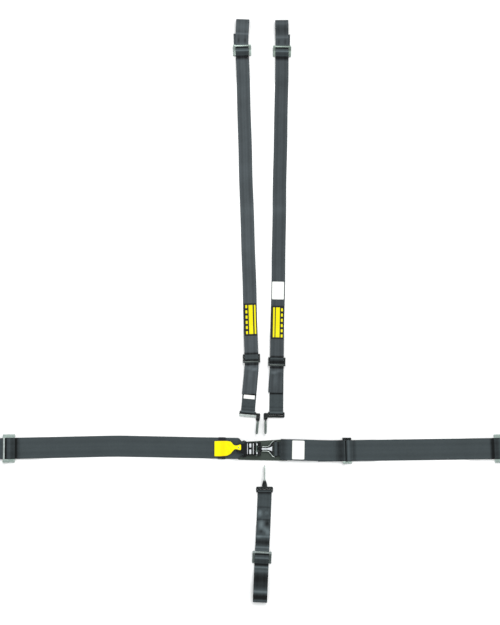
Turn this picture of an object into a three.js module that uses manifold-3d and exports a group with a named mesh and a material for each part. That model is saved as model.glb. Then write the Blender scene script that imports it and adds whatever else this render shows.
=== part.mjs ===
// Racing harness, latch-and-link type, laid out flat: two lap belts that meet at a lever latch, two
// shoulder belts and a crotch belt whose slotted end fittings thread onto the link's tongue.
// Millimetres. +X runs along the right lap belt, +Y towards the shoulder loops, +Z up from the floor.
// The origin is under the latch, on the floor.

import * as THREE from 'three';
import { mergeVertices } from 'three/addons/utils/BufferGeometryUtils.js';
import Module from 'manifold-3d';

const wasm = await Module();
wasm.setup();

// ---------------------------------------------------------------- driving dimensions

const WEB = 1.4;              // webbing thickness
const GAP = 0.3;              // clearance between neighbouring pieces
const LAP_WIDTH = 75;         // nominal 3 inch lap webbing
const BELT_WIDTH = 50;        // nominal 2 inch shoulder and crotch webbing
const BAR = 2.8;              // thickness of an adjuster's bars
const LABEL = 0.4;            // thickness of a sewn label
const FLOOR_LAYER = WEB / 2;  // centre height of webbing that lies on the floor
const SECOND_LAYER = 1.5 * WEB + GAP;
const FOLD_INSET = 2.4;       // from a flat 6 mm bar's middle to the centre of the fold round its edge

const LATCH = {
  halfWidth: 23, wall: 2.5, floorZ: 4.3, plate: 3, mouthX: -4, wallStartX: -50,
  rearBarX: -69, rearBarZ: 7.5, rearHalfWidth: 30, pinX: -20, pinZ: 16, pinR: 3, wallTopZ: 21.5,
};
const TONGUE = { bottomZ: 7.7, plate: 3, halfWidth: 8.75, endX: -52, slotStartX: -46, slotEndX: -8 };
const LINK_BAR_X = 49;        // centre of the link's webbing bar
const LEVER = { tipX: -92, plateStartX: -53, plateEndX: -30, top: 21.5, plate: 2.5, halfWidth: 20 };
const TAG = { hingeX: -93.6, endX: -170, bottomZ: 17.3, sheet: 1.5, y: 5 };
const PAD = 4;                // thickness of the pad under the latch

const LEFT_LAP = { x: LATCH.rearBarX, y: 1.5, turn: 178.86, bend: 2.46, bendAt: 455, slideAt: 838, end: 956 };
const RIGHT_LAP = { x: 305.2, y: -6, turn: 0.8, slideAt: 549, end: 667, tail: -105 };
// Each shoulder belt is measured from its adjuster. The leans are the turns, in degrees, of the loop past the
// slide, of the lower belt past the adjuster, and of the free tail that lies on the lower belt.
const SHOULDER = {
  left: {
    x: -37.4, y: 326, turn: 91.72, slideAt: 1177.5, end: 1300, loopLean: -4.3, belowLean: -6.7, tailLean: 6.9,
    side: 1, tailAt: -128, lowerLength: 206, emblemEnd: 203, sizeTab: [133, 147],
  },
  right: {
    x: 54.3, y: 314, turn: 88.82, slideAt: 1185.5, end: 1308.5, loopLean: 2, belowLean: 0.4, tailLean: 2.4,
    side: -1, tailAt: -112, lowerLength: 196, emblemEnd: 206, label: [230, 296],
  },
};
const CROTCH = { x: 9, y: -139.5, turn: -90, lean: -2.7, slideAt: 240, end: 394, loopGap: 20 };
const ADJUST_TRAVEL = 60;     // length of level webbing kept for each adjuster's travel
const LAP_SLIDE = { webWidth: LAP_WIDTH, railWidth: 12, half: 17 };
const SHOULDER_SLIDE = { webWidth: BELT_WIDTH, railWidth: 8.4, half: 16.5 };
const CROTCH_SLIDE = { webWidth: BELT_WIDTH, railWidth: 8, half: 16.5 };
const TAIL = { start: 24, length: 44 };    // a slide's free end, from the slide's middle bar
const EMBLEM_WIDTH = 46;
const RIVET = { x: -84, radius: 1.35, hole: 1.5 };

// ---------------------------------------------------------------- materials

function finish(color, roughness, metalness) {
  return new THREE.MeshStandardMaterial({ color, roughness, metalness });
}

const webbing = () => finish(0x3b4244, 0.85, 0);
const darkTape = () => finish(0x1b1d1e, 0.85, 0);
const blackMetal = () => finish(0x17181a, 0.35, 0.6);
const silverMetal = () => finish(0xb9bfbd, 0.3, 0.9);
const satinSteel = () => finish(0x8f9894, 0.4, 0.9);
const darkZinc = () => finish(0x54585a, 0.4, 0.8);
const labelWhite = () => finish(0xf2f2f0, 0.7, 0);
const tagYellow = () => finish(0xffe600, 0.5, 0);

// ---------------------------------------------------------------- solids

function toManifold(geometry) {
  const bare = geometry.index ? geometry.toNonIndexed() : geometry.clone();
  bare.deleteAttribute('normal');
  bare.deleteAttribute('uv');
  const merged = mergeVertices(bare, 1e-4);
  const mesh = new wasm.Mesh({
    numProp: 3,
    vertProperties: new Float32Array(merged.attributes.position.array),
    triVerts: new Uint32Array(merged.index.array),
  });
  return new wasm.Manifold(mesh);
}

function toGeometry(solid) {
  const mesh = solid.getMesh();
  const geometry = new THREE.BufferGeometry();
  geometry.setAttribute('position', new THREE.BufferAttribute(new Float32Array(mesh.vertProperties), 3));
  geometry.setIndex(new THREE.BufferAttribute(new Uint32Array(mesh.triVerts), 1));
  geometry.computeVertexNormals();
  return geometry;
}

function join(...geometries) {
  return toGeometry(geometries.map(toManifold).reduce((sum, next) => sum.add(next)));
}

function cut(body, ...tools) {
  return toGeometry(tools.map(toManifold).reduce((left, tool) => left.subtract(tool), toManifold(body)));
}

function overlapOf(a, b) {
  return toGeometry(toManifold(a).intersect(toManifold(b)));
}

function box(x0, x1, y0, y1, z0, z1) {
  const geometry = new THREE.BoxGeometry(x1 - x0, y1 - y0, z1 - z0);
  return geometry.translate((x0 + x1) / 2, (y0 + y1) / 2, (z0 + z1) / 2);
}

// A pin or hole across the belt: a cylinder along Y.
function crossCylinder(x, z, radius, y0, y1, sides = 28) {
  const geometry = new THREE.CylinderGeometry(radius, radius, y1 - y0, sides);
  return geometry.translate(x, (y0 + y1) / 2, z);
}

// A plan-view outline made thick upwards from z.
function plate(shape, z, thickness) {
  const options = { depth: thickness, bevelEnabled: false, curveSegments: 4 };
  return new THREE.ExtrudeGeometry(shape, options).translate(0, 0, z);
}

// A side-view outline, drawn as (along the belt, height), made wide across the belt and centred on it.
function crosswise(shape, width, centre = 0) {
  const geometry = new THREE.ExtrudeGeometry(shape, { depth: width, bevelEnabled: false, curveSegments: 4 });
  return geometry.rotateX(Math.PI / 2).translate(0, centre + width / 2, 0);
}

function roundedRect(x0, x1, y0, y1, radius, Kind = THREE.Shape) {
  const r = radius;
  const shape = new Kind();
  shape.moveTo(x0 + r, y0).lineTo(x1 - r, y0);
  shape.absarc(x1 - r, y0 + r, r, -Math.PI / 2, 0, false).lineTo(x1, y1 - r);
  shape.absarc(x1 - r, y1 - r, r, 0, Math.PI / 2, false).lineTo(x0 + r, y1);
  shape.absarc(x0 + r, y1 - r, r, Math.PI / 2, Math.PI, false).lineTo(x0, y0 + r);
  shape.absarc(x0 + r, y0 + r, r, Math.PI, 1.5 * Math.PI, false);
  return shape;
}

function polygon(points) {
  return new THREE.Shape(points.map(([x, y]) => new THREE.Vector2(x, y)));
}

// A closed solid through four-cornered sections, each running low left, low right, high right, high left.
function loft(rings) {
  const index = [];
  for (let i = 0; i + 1 < rings.length; i += 1) {
    for (let k = 0; k < 4; k += 1) {
      const a = 4 * i + k;
      const b = 4 * i + (k + 1) % 4;
      index.push(a, b, b + 4, a, b + 4, a + 4);
    }
  }
  const last = 4 * (rings.length - 1);
  index.push(0, 2, 1, 0, 3, 2, last, last + 1, last + 2, last, last + 2, last + 3);
  const geometry = new THREE.BufferGeometry();
  geometry.setAttribute('position', new THREE.Float32BufferAttribute(rings.flat(2), 3));
  geometry.setIndex(index);
  return geometry;
}

// A blend of rectangular sections, each with a centre, a width, a thickness and a turn about the belt's run.
function twistedArm(stations) {
  const corners = [[-1, -1], [1, -1], [1, 1], [-1, 1]];
  return loft(stations.map(({ s, n, z, width, thick, turn }) => corners.map(([a, b]) => {
    const across = a * width / 2;
    const up = b * thick / 2;
    return [
      s,
      n + across * Math.cos(turn) - up * Math.sin(turn),
      z + across * Math.sin(turn) + up * Math.cos(turn),
    ];
  })));
}

// ---------------------------------------------------------------- webbing

// Steps from (s0, z0) to (s1, z1) with level ends, as webbing leaves one level for another.
function ramp(path, s1, z1) {
  const from = path.currentPoint;
  const middle = (from.x + s1) / 2;
  return path.bezierCurveTo(middle, from.y, middle, z1, s1, z1);
}

// A level stretch with points every step, so that it can follow a bend in plan.
function level(path, s1, step = 36) {
  const { x: s0, y: z } = path.currentPoint;
  const count = Math.max(1, Math.ceil(Math.abs(s1 - s0) / step));
  for (let i = 1; i <= count; i += 1) path.lineTo(s0 + (s1 - s0) * i / count, z);
  return path;
}

// The two edges of a strap seen from the side: its centreline with half the thickness on each side.
function strapEdges(path, thickness = WEB) {
  const raw = path.getPoints(6);
  const line = raw.filter((p, i) => i === 0 || p.distanceTo(raw[i - 1]) > 0.05);
  const offset = (sign) => line.map((p, i) => {
    const before = line[Math.max(0, i - 1)];
    const after = line[Math.min(line.length - 1, i + 1)];
    const into = p.clone().sub(before);
    const out = after.clone().sub(p);
    if (into.length() < 1e-6) into.copy(out);
    if (out.length() < 1e-6) out.copy(into);
    const mean = into.normalize().add(out.normalize()).normalize();
    const reach = sign * thickness / 2 / Math.max(0.5, mean.dot(out));
    return new THREE.Vector2(p.x - mean.y * reach, p.y + mean.x * reach);
  });
  return [offset(-1), offset(1)];
}

function strapOutline(path, thickness) {
  const [left, right] = strapEdges(path, thickness);
  return new THREE.Shape([...left, ...right.reverse()]);
}

function strap(path, width, centre = 0, thickness = WEB) {
  const [left, right] = strapEdges(path, thickness);
  const near = centre - width / 2;
  const far = centre + width / 2;
  return loft(left.map((p, i) => {
    const q = right[i];
    return [[p.x, near, p.y], [p.x, far, p.y], [q.x, far, q.y], [q.x, near, q.y]];
  }));
}

// Moves every vertex in plan; change() takes the place along and across the belt and gives the new one.
function reshape(geometry, change) {
  const position = geometry.attributes.position;
  for (let i = 0; i < position.count; i += 1) {
    const [x, y] = change(position.getX(i), position.getY(i));
    position.setXY(i, x, y);
  }
  return geometry;
}

// A bend in plan between s0 and s1, by an angle in degrees; what lies beyond s1 turns as one.
function bend(geometry, s0, s1, degrees) {
  const total = THREE.MathUtils.degToRad(degrees);
  const radius = (s1 - s0) / total;
  return reshape(geometry, (s, n) => {
    if (s <= s0) return [s, n];
    const turn = total * Math.min(1, (s - s0) / (s1 - s0));
    const beyond = Math.max(0, s - s1);
    const x = s0 + radius * Math.sin(turn) + beyond * Math.cos(turn) - n * Math.sin(turn);
    const y = radius * (1 - Math.cos(turn)) + beyond * Math.sin(turn) + n * Math.cos(turn);
    return [x, y];
  });
}

// Lap webbing drawn in to a narrower bar: full width beyond the reach, and narrow at the bar.
function gather(geometry, reach, narrow) {
  return reshape(geometry, (s, n) => {
    const open = THREE.MathUtils.clamp(s / reach, 0, 1);
    return [s, n * (narrow + (1 - narrow) * open)];
  });
}

// ---------------------------------------------------------------- slides and adjusters

// A three-bar slide: two bars under the webbing and one above it, joined by two cranked side rails.
// bars is a list of [place along the belt, height of the bar's underside].
function slideFrame({ webWidth, railWidth, barDepth, bars, endReach }) {
  const inner = webWidth / 2 + 0.6;
  const outer = inner + railWidth;
  const solids = bars.map(([s, z]) => {
    const section = roundedRect(s - barDepth / 2, s + barDepth / 2, z, z + BAR, 1.2);
    return crosswise(section, 2 * outer - 2);
  });
  const first = bars[0];
  const middle = bars[1];
  const last = bars[2];
  const rail = new THREE.Path();
  rail.moveTo(first[0] - Math.sign(middle[0] - first[0]) * endReach, first[1] + BAR / 2);
  rail.lineTo(first[0], first[1] + BAR / 2);
  rail.lineTo(middle[0], middle[1] + BAR / 2);
  ramp(rail, last[0], last[1] + BAR / 2);
  rail.lineTo(last[0] + Math.sign(last[0] - middle[0]) * endReach, last[1] + BAR / 2);
  const outline = strapOutline(rail, BAR + 0.8);
  for (const side of [-1, 1]) {
    solids.push(crosswise(outline, railWidth, side * (inner + railWidth / 2)));
  }
  return join(...solids);
}

// ---------------------------------------------------------------- end fittings

const FITTING = {
  plate: 3, bottomZ: 1.7, rearBar: [-14, -8], slot: [-8, -2], frontRail: 6, halfWidth: 30, slotHalf: 26,
  prongStart: 18, prongEnd: 65, prongHeight: 20, prongThick: 4, prongSlot: [28, 58], prongSlotHeight: 8,
  armOffset: 38, armWidth: 14, lean: 15, crotchNeck: 15.5,
};

// The upright prong: a plate on edge with the long slot that threads onto the tongue.
function prong(n, leanDegrees, neck = 0) {
  const f = FITTING;
  const top = f.prongHeight;
  const outline = roundedRect(f.prongStart, f.prongEnd, 0, top, 8);
  const middle = top / 2;
  const half = f.prongSlotHeight / 2;
  const [slotStart, slotEnd] = f.prongSlot;
  outline.holes.push(roundedRect(slotStart, slotEnd, middle - half, middle + half, half - 0.2, THREE.Path));
  const geometry = crosswise(outline, f.prongThick);
  geometry.translate(0, 0, -middle);
  geometry.rotateX(THREE.MathUtils.degToRad(leanDegrees));
  const rise = middle * Math.cos(THREE.MathUtils.degToRad(leanDegrees)) + 0.9;
  return geometry.translate(neck, n, rise);
}

function fittingPlate() {
  const f = FITTING;
  const outline = roundedRect(f.rearBar[0], f.frontRail, -f.halfWidth, f.halfWidth, 4);
  outline.holes.push(roundedRect(f.slot[0], f.slot[1], -f.slotHalf, f.slotHalf, 2, THREE.Path));
  return plate(outline, f.bottomZ, f.plate);
}

// The twist from the flat plate to the upright prong, starting at s0 with the given width.
function twist(n, s0, width, leanDegrees, neck = 0) {
  const f = FITTING;
  const flatZ = f.bottomZ + f.plate / 2;
  const proudZ = f.prongHeight / 2 * Math.cos(THREE.MathUtils.degToRad(leanDegrees)) + 0.9;
  const full = THREE.MathUtils.degToRad(90 + leanDegrees);
  const steps = 8;
  const stations = [{ s: s0 - 4, n, z: flatZ, width, thick: f.plate - 0.1, turn: 0 }];
  for (let i = 0; i <= steps; i += 1) {
    const t = i / steps;
    const ease = t * t * (3 - 2 * t);
    stations.push({
      s: s0 + (f.prongStart + neck + 4 - s0) * t,
      n,
      z: flatZ + (proudZ - flatZ) * Math.sin(Math.min(full * ease, Math.PI / 2)),
      width: width + (f.prongHeight - 3 - width) * ease,
      thick: f.plate - 0.1 + (f.prongThick - f.plate) * ease,
      turn: full * ease,
    });
  }
  return twistedArm(stations);
}

// A shoulder fitting carries its prong at one corner; side is +1 or -1 across the belt.
function shoulderFitting(side) {
  const f = FITTING;
  const near = side * (f.slotHalf + 1);
  const far = side * (f.armOffset + f.armWidth / 2);
  const shoulder = roundedRect(f.rearBar[0] + 4, f.frontRail, Math.min(near, far), Math.max(near, far), 3);
  const n = side * f.armOffset;
  return join(fittingPlate(), plate(shoulder, f.bottomZ, f.plate), twist(n, 4, f.armWidth, -side * f.lean),
    prong(n, -side * f.lean));
}

// The crotch fitting carries its prong on a wide neck in the middle.
function crotchFitting() {
  const neckWidth = 18;
  return join(fittingPlate(), twist(0, 4, neckWidth, 0, FITTING.crotchNeck), prong(0, 0, FITTING.crotchNeck));
}

// ---------------------------------------------------------------- scene graph

const harness = new THREE.Group();

function place(parent, x, y, degrees) {
  const group = new THREE.Group();
  group.position.set(x, y, 0);
  group.rotation.z = THREE.MathUtils.degToRad(degrees);
  parent.add(group);
  return group;
}

function add(parent, name, geometry, material) {
  const mesh = new THREE.Mesh(geometry, material);
  mesh.name = name;
  parent.add(mesh);
  return mesh;
}

// ---------------------------------------------------------------- latch

function latchBase() {
  const l = LATCH;
  const floor = new THREE.Path();
  floor.moveTo(l.rearBarX - 3, l.rearBarZ).lineTo(-58, l.rearBarZ);
  ramp(floor, -50, l.floorZ + l.plate / 2).lineTo(l.mouthX, l.floorZ + l.plate / 2);
  const floorSolid = crosswise(strapOutline(floor, l.plate), 2 * l.rearHalfWidth);
  const outline = polygon([
    [l.rearBarX - 3, -l.rearHalfWidth + 4], [l.rearBarX + 1, -l.rearHalfWidth], [-61, -l.rearHalfWidth],
    [-52, -l.halfWidth], [l.mouthX, -l.halfWidth], [l.mouthX, l.halfWidth], [-52, l.halfWidth],
    [-61, l.rearHalfWidth], [l.rearBarX + 1, l.rearHalfWidth], [l.rearBarX - 3, l.rearHalfWidth - 4],
  ]);
  const trimmed = overlapOf(floorSolid, plate(outline, 0, 30));
  const slotHalf = l.rearHalfWidth - 4;
  const webSlot = plate(roundedRect(l.rearBarX + 2.4, -60, -slotHalf, slotHalf, 2), 0, 30);
  const wall = new THREE.Shape();
  wall.moveTo(l.wallStartX, l.floorZ).lineTo(l.mouthX, l.floorZ).lineTo(l.mouthX, 12);
  wall.quadraticCurveTo(l.mouthX - 2, l.wallTopZ, l.pinX, l.wallTopZ);
  wall.quadraticCurveTo(-34, l.wallTopZ, -40, 15).lineTo(l.wallStartX, 13);
  const walls = [-1, 1].map((side) => crosswise(wall, l.wall, side * (l.halfWidth - l.wall / 2)));
  const pinHole = crossCylinder(l.pinX, l.pinZ, l.pinR + 0.12, -30, 30);
  return cut(join(trimmed, ...walls), webSlot, pinHole);
}

function pivotPin() {
  const l = LATCH;
  const head = 1.6;
  const reach = l.halfWidth + GAP;
  return join(
    crossCylinder(l.pinX, l.pinZ, l.pinR, -reach - head / 2, reach + head / 2),
    crossCylinder(l.pinX, l.pinZ, 4.6, reach, reach + head),
    crossCylinder(l.pinX, l.pinZ, 4.6, -reach - head, -reach),
  );
}

function latchLever() {
  const l = LEVER;
  const middle = l.top - l.plate / 2;
  const handleZ = TAG.bottomZ - GAP - l.plate / 2;
  const profile = new THREE.Path();
  profile.moveTo(l.tipX, handleZ).lineTo(-76, handleZ);
  ramp(profile, l.plateStartX - 4, middle).lineTo(l.plateEndX, middle);
  const sheet = crosswise(strapOutline(profile, l.plate), 2 * l.halfWidth);
  const outline = new THREE.Shape();
  outline.moveTo(l.tipX + 5, -11).lineTo(-76, -13);
  outline.quadraticCurveTo(-64, -l.halfWidth, l.plateStartX, -l.halfWidth);
  outline.lineTo(l.plateEndX, -l.halfWidth).lineTo(l.plateEndX, l.halfWidth).lineTo(l.plateStartX, l.halfWidth);
  outline.quadraticCurveTo(-64, l.halfWidth, -76, 17).lineTo(l.tipX + 5, 16);
  outline.quadraticCurveTo(l.tipX, 15, l.tipX, 11).lineTo(l.tipX, -6);
  outline.quadraticCurveTo(l.tipX, -10, l.tipX + 5, -11);
  const handle = overlapOf(sheet, plate(outline, 0, 40));
  const solids = [handle];
  for (const side of [-1, 1]) {
    const arm = new THREE.Shape();
    arm.moveTo(-44, l.top).lineTo(-44, l.top - 4).lineTo(-30, 13).lineTo(LATCH.pinX, 10.6);
    arm.absarc(LATCH.pinX, LATCH.pinZ, 5.4, -Math.PI / 2, Math.PI / 2, false).lineTo(-30, l.top);
    solids.push(crosswise(arm, 6.5, side * 15.5));
    const ridge = roundedRect(-45.5, -38.5, side > 0 ? 4.5 : -18.5, side > 0 ? 18.5 : -2.5, 2);
    solids.push(plate(ridge, l.top - 1, 2.6));
  }
  solids.push(plate(roundedRect(-53, -51, -19, 19, 0.9), l.top - 1, 2));
  solids.push(plate(roundedRect(-32.4, -30.2, -19, 19, 0.9), l.top - 1, 2));
  const nose = new THREE.Shape();
  nose.moveTo(-40, l.top - 1).lineTo(-39, 9.4).lineTo(-37.6, 8.3).lineTo(-34.4, 8.3);
  nose.lineTo(-33, 10).lineTo(-32, l.top - 1);
  solids.push(crosswise(nose, 8.4));
  const pinHole = crossCylinder(LATCH.pinX, LATCH.pinZ, LATCH.pinR + 0.25, -22, 22);
  return cut(join(...solids), pinHole, rivetHole());
}

// The hole for the tag's rivet, straight down through the tag and the handle.
function rivetHole() {
  const hole = new THREE.CylinderGeometry(RIVET.hole, RIVET.hole, 20, 20);
  return hole.rotateX(Math.PI / 2).translate(RIVET.x, TAG.y, TAG.bottomZ);
}

function tagRivet() {
  const shank = RIVET.radius;
  const tail = [[0, -5.2], [3, -5.2], [3, -3.9], [shank, -3.9]];
  const profile = [...tail, [shank, 0.95], [2.6, 0.95], [2.2, 1.7], [0, 1.9]];
  const rivet = new THREE.LatheGeometry(profile.map(([r, z]) => new THREE.Vector2(r, z)), 20);
  return rivet.rotateX(Math.PI / 2).translate(RIVET.x, TAG.y, TAG.bottomZ + TAG.sheet / 2 + 0.1);
}

// A torsion spring: close turns of wire round the pin, beside one of the lever's arms.
function leverSpring() {
  const turns = 3;
  const perTurn = 14;
  const wire = 1.2;
  const pitch = wire + 0.25;
  const coilRadius = LATCH.pinR + 1.4;
  const startY = -11.4;
  const steps = turns * perTurn;
  const points = [];
  for (let i = 0; i <= steps; i += 1) {
    const angle = i / perTurn * 2 * Math.PI;
    const x = LATCH.pinX + coilRadius * Math.cos(angle);
    const z = LATCH.pinZ + coilRadius * Math.sin(angle);
    points.push(new THREE.Vector3(x, startY + i / perTurn * pitch, z));
  }
  const extrudePath = new THREE.CatmullRomCurve3(points);
  const section = new THREE.Shape();
  section.absarc(0, 0, wire / 2, 0, 2 * Math.PI, false);
  return new THREE.ExtrudeGeometry(section, { extrudePath, steps, bevelEnabled: false, curveSegments: 3 });
}

function tagOutline() {
  const shape = new THREE.Shape();
  shape.moveTo(TAG.endX, -26).lineTo(-140, -25.5).quadraticCurveTo(-122, -24, -112, -17);
  shape.quadraticCurveTo(-104, -9, -99, -2.5).quadraticCurveTo(-96, -1.2, -90, -1.2);
  shape.quadraticCurveTo(-84, -3.6, -79, -4.6).quadraticCurveTo(-75, -4, -75, 0).lineTo(-75, 11);
  shape.quadraticCurveTo(-75, 15, -79, 15).quadraticCurveTo(-86, 13, -92, 11.6);
  shape.quadraticCurveTo(-99, 11.5, -103, 15);
  shape.quadraticCurveTo(-108, 26, -120, 27.5).lineTo(-140, 28.5).lineTo(TAG.endX, 27.5);
  return shape;
}

function addLatch() {
  const body = place(harness, 0, 0, 0);
  add(body, 'latch_base', latchBase(), blackMetal());
  add(body, 'lever_pivot_pin', pivotPin(), satinSteel());
  add(body, 'lever_spring', leverSpring(), satinSteel());
  add(body, 'latch_lever', latchLever(), blackMetal());

  const outline = plate(tagOutline(), 0, 40);
  const middle = TAG.bottomZ + TAG.sheet / 2;
  const anchorSide = new THREE.Path().moveTo(TAG.hingeX + GAP, middle).lineTo(-70, middle);
  const anchor = cut(overlapOf(crosswise(strapOutline(anchorSide, TAG.sheet), 60), outline), rivetHole());
  add(body, 'release_tag_anchor', anchor, tagYellow());
  const drop = new THREE.Path().moveTo(TAG.hingeX, middle).lineTo(-97, middle);
  ramp(drop, -132, 7.6);
  drop.lineTo(TAG.endX - 5, 7.2);
  add(body, 'release_tag', overlapOf(crosswise(strapOutline(drop, TAG.sheet), 60), outline), tagYellow());
  add(body, 'tag_rivet', tagRivet(), silverMetal());
}

// ---------------------------------------------------------------- link and its webbing

// The link: a slotted tongue that flares to the cross bar its webbing is sewn round, with a raised rib.
function linkPlate() {
  const t = TONGUE;
  const w = t.halfWidth;
  const wide = 30;
  const end = LINK_BAR_X + 3.5;
  const outline = new THREE.Shape();
  outline.moveTo(t.endX + 5, -w).lineTo(16, -w).bezierCurveTo(30, -w, 32, -wide + 3, 44, -wide);
  outline.lineTo(LINK_BAR_X, -wide).quadraticCurveTo(end, -wide, end, -wide + 4);
  outline.lineTo(end, wide - 4).quadraticCurveTo(end, wide, LINK_BAR_X, wide);
  outline.lineTo(44, wide).bezierCurveTo(32, wide - 3, 30, w, 16, w).lineTo(t.endX + 5, w);
  outline.quadraticCurveTo(t.endX, w, t.endX, w - 5).lineTo(t.endX, -w + 5);
  outline.quadraticCurveTo(t.endX, -w, t.endX + 5, -w);
  outline.holes.push(roundedRect(t.slotStartX, t.slotEndX, -5.5, 5.5, 1.5, THREE.Path));
  outline.holes.push(roundedRect(LINK_BAR_X - 9, LINK_BAR_X - 3, -26, 26, 2, THREE.Path));
  const rib = new THREE.Shape();
  rib.moveTo(0, -3).lineTo(18, -2.6).quadraticCurveTo(28, -4, 36, -8).lineTo(36, 8);
  rib.quadraticCurveTo(28, 4, 18, 2.6).lineTo(0, 3).quadraticCurveTo(-2, 0, 0, -3);
  return join(plate(outline, t.bottomZ, t.plate), plate(rib, t.bottomZ + t.plate - 1, 2));
}

// Short narrow webbing sewn round the link's bar, both layers lying on the pad.
function linkLoop() {
  const barMiddle = TONGUE.bottomZ + TONGUE.plate / 2;
  const radius = TONGUE.plate / 2 + GAP + WEB / 2;
  const low = PAD + GAP + WEB / 2;
  const start = LINK_BAR_X;
  const path = new THREE.Path().moveTo(122, low);
  level(path, 82);
  ramp(path, start + 2, barMiddle - radius).lineTo(start - 2.2, barMiddle - radius);
  path.absarc(start - 2.2, barMiddle, radius, 1.5 * Math.PI, 0.5 * Math.PI, true);
  path.lineTo(start + 2, barMiddle + radius);
  ramp(path, 76, low + WEB + GAP);
  level(path, 122);
  return strap(path, BELT_WIDTH);
}

function padOutline() {
  return polygon([[-86, -38.4], [92, -42], [92, 34.9], [53, 32.8], [-60, 25.7], [-86, 22]]);
}

// Lap webbing from the link to the adjuster, folded round the adjuster's high bar. Runs from the adjuster.
function innerLapWebbing(frame) {
  const high = frame.high + BAR / 2;
  const radius = BAR / 2 + GAP + WEB / 2;
  const bar = -frame.bars[2][0];
  const under = high - radius;
  const path = new THREE.Path().moveTo(bar + 34, under);
  level(path, bar - 1.9);
  path.absarc(bar - 1.9, high, radius, 1.5 * Math.PI, 0.5 * Math.PI, true);
  path.lineTo(bar + 1, high + radius);
  ramp(path, bar + 22, under + WEB + GAP);
  level(path, bar + 38);
  ramp(path, bar + 50, under);
  level(path, 86);
  const overLoop = PAD + 2 * (WEB + GAP) + GAP + WEB / 2;
  ramp(path, 148, overLoop);
  level(path, 216);
  ramp(path, 239.5, 12.4);
  return strap(path, LAP_WIDTH);
}

const LAP_ADJUSTER = { bars: [[11.5, 0.5], [0, 0.5], [-12.5, 7.2]], low: 0.5, high: 7.2 };

function addLink() {
  const body = place(harness, 0, 0, 0);
  add(body, 'link_plate', linkPlate(), blackMetal());
  add(body, 'link_loop_webbing', linkLoop(), webbing());
  add(body, 'buckle_pad', plate(padOutline(), 0, PAD), webbing());

  const back = place(harness, RIGHT_LAP.x, RIGHT_LAP.y, RIGHT_LAP.turn + 180);
  const inner = bend(innerLapWebbing(LAP_ADJUSTER), 30, 80, -2.2);
  add(back, 'inner_lap_webbing', inner, webbing());
  const labelZ = PAD + 2 * (WEB + GAP) + GAP + WEB + GAP;
  const labelHalf = LAP_WIDTH / 2 - 4;
  const label = box(153.5, 197.3, -labelHalf, labelHalf, labelZ, labelZ + LABEL);
  add(back, 'lap_label', bend(label, 30, 80, -2.2), labelWhite());

  const front = place(harness, RIGHT_LAP.x, RIGHT_LAP.y, RIGHT_LAP.turn);
  const spec = { webWidth: LAP_WIDTH, railWidth: 8, barDepth: 6, bars: LAP_ADJUSTER.bars, endReach: 4 };
  add(front, 'lap_adjuster', slideFrame(spec), blackMetal());
  return front;
}

// ---------------------------------------------------------------- wrap-around ends

const RUN_Z = WEB + GAP + BAR + GAP + WEB / 2;   // centre height of webbing that passes over a slide's low bars
const LOW_BAR = WEB + GAP;                       // underside of a slide's low bars
const HIGH_BAR = RUN_Z + WEB / 2 + GAP;          // underside of a slide's high bar
const LOOP_GAP = 11;                             // clear height inside a wrap loop, for a bar

// Webbing from the floor up over the slide, round the end loop, and back underneath to returnEnd.
function wrapEnd(path, { climbAt, end, returnEnd, loopGap = LOOP_GAP }) {
  level(path, climbAt);
  ramp(path, climbAt + 45, RUN_Z);
  level(path, end - 92);
  const radius = (loopGap + WEB) / 2;
  const middle = FLOOR_LAYER + radius;
  ramp(path, end - radius - 18, middle + radius).lineTo(end - radius, middle + radius);
  path.absarc(end - radius, middle, radius, 0.5 * Math.PI, -0.5 * Math.PI, true);
  return level(path, returnEnd);
}

// highSide is +1 where the high bar is on the loop's side of the slide, and -1 where it is on the belt's.
function endSlide({ webWidth, railWidth, half }, at, highSide) {
  const bars = [[at - highSide * half, LOW_BAR], [at, LOW_BAR], [at + highSide * half, HIGH_BAR]];
  return slideFrame({ webWidth, railWidth, barDepth: 6.5, bars, endReach: 4 });
}

// The free end of the webbing, lying between the two layers of the loop.
function slideTail(at, width, shift = 0) {
  const z = LOW_BAR + WEB / 2 + 0.1;
  const path = new THREE.Path().moveTo(at + TAIL.start, z);
  level(path, at + TAIL.start + TAIL.length);
  return strap(path, width, shift);
}

// ---------------------------------------------------------------- lap belts

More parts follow.
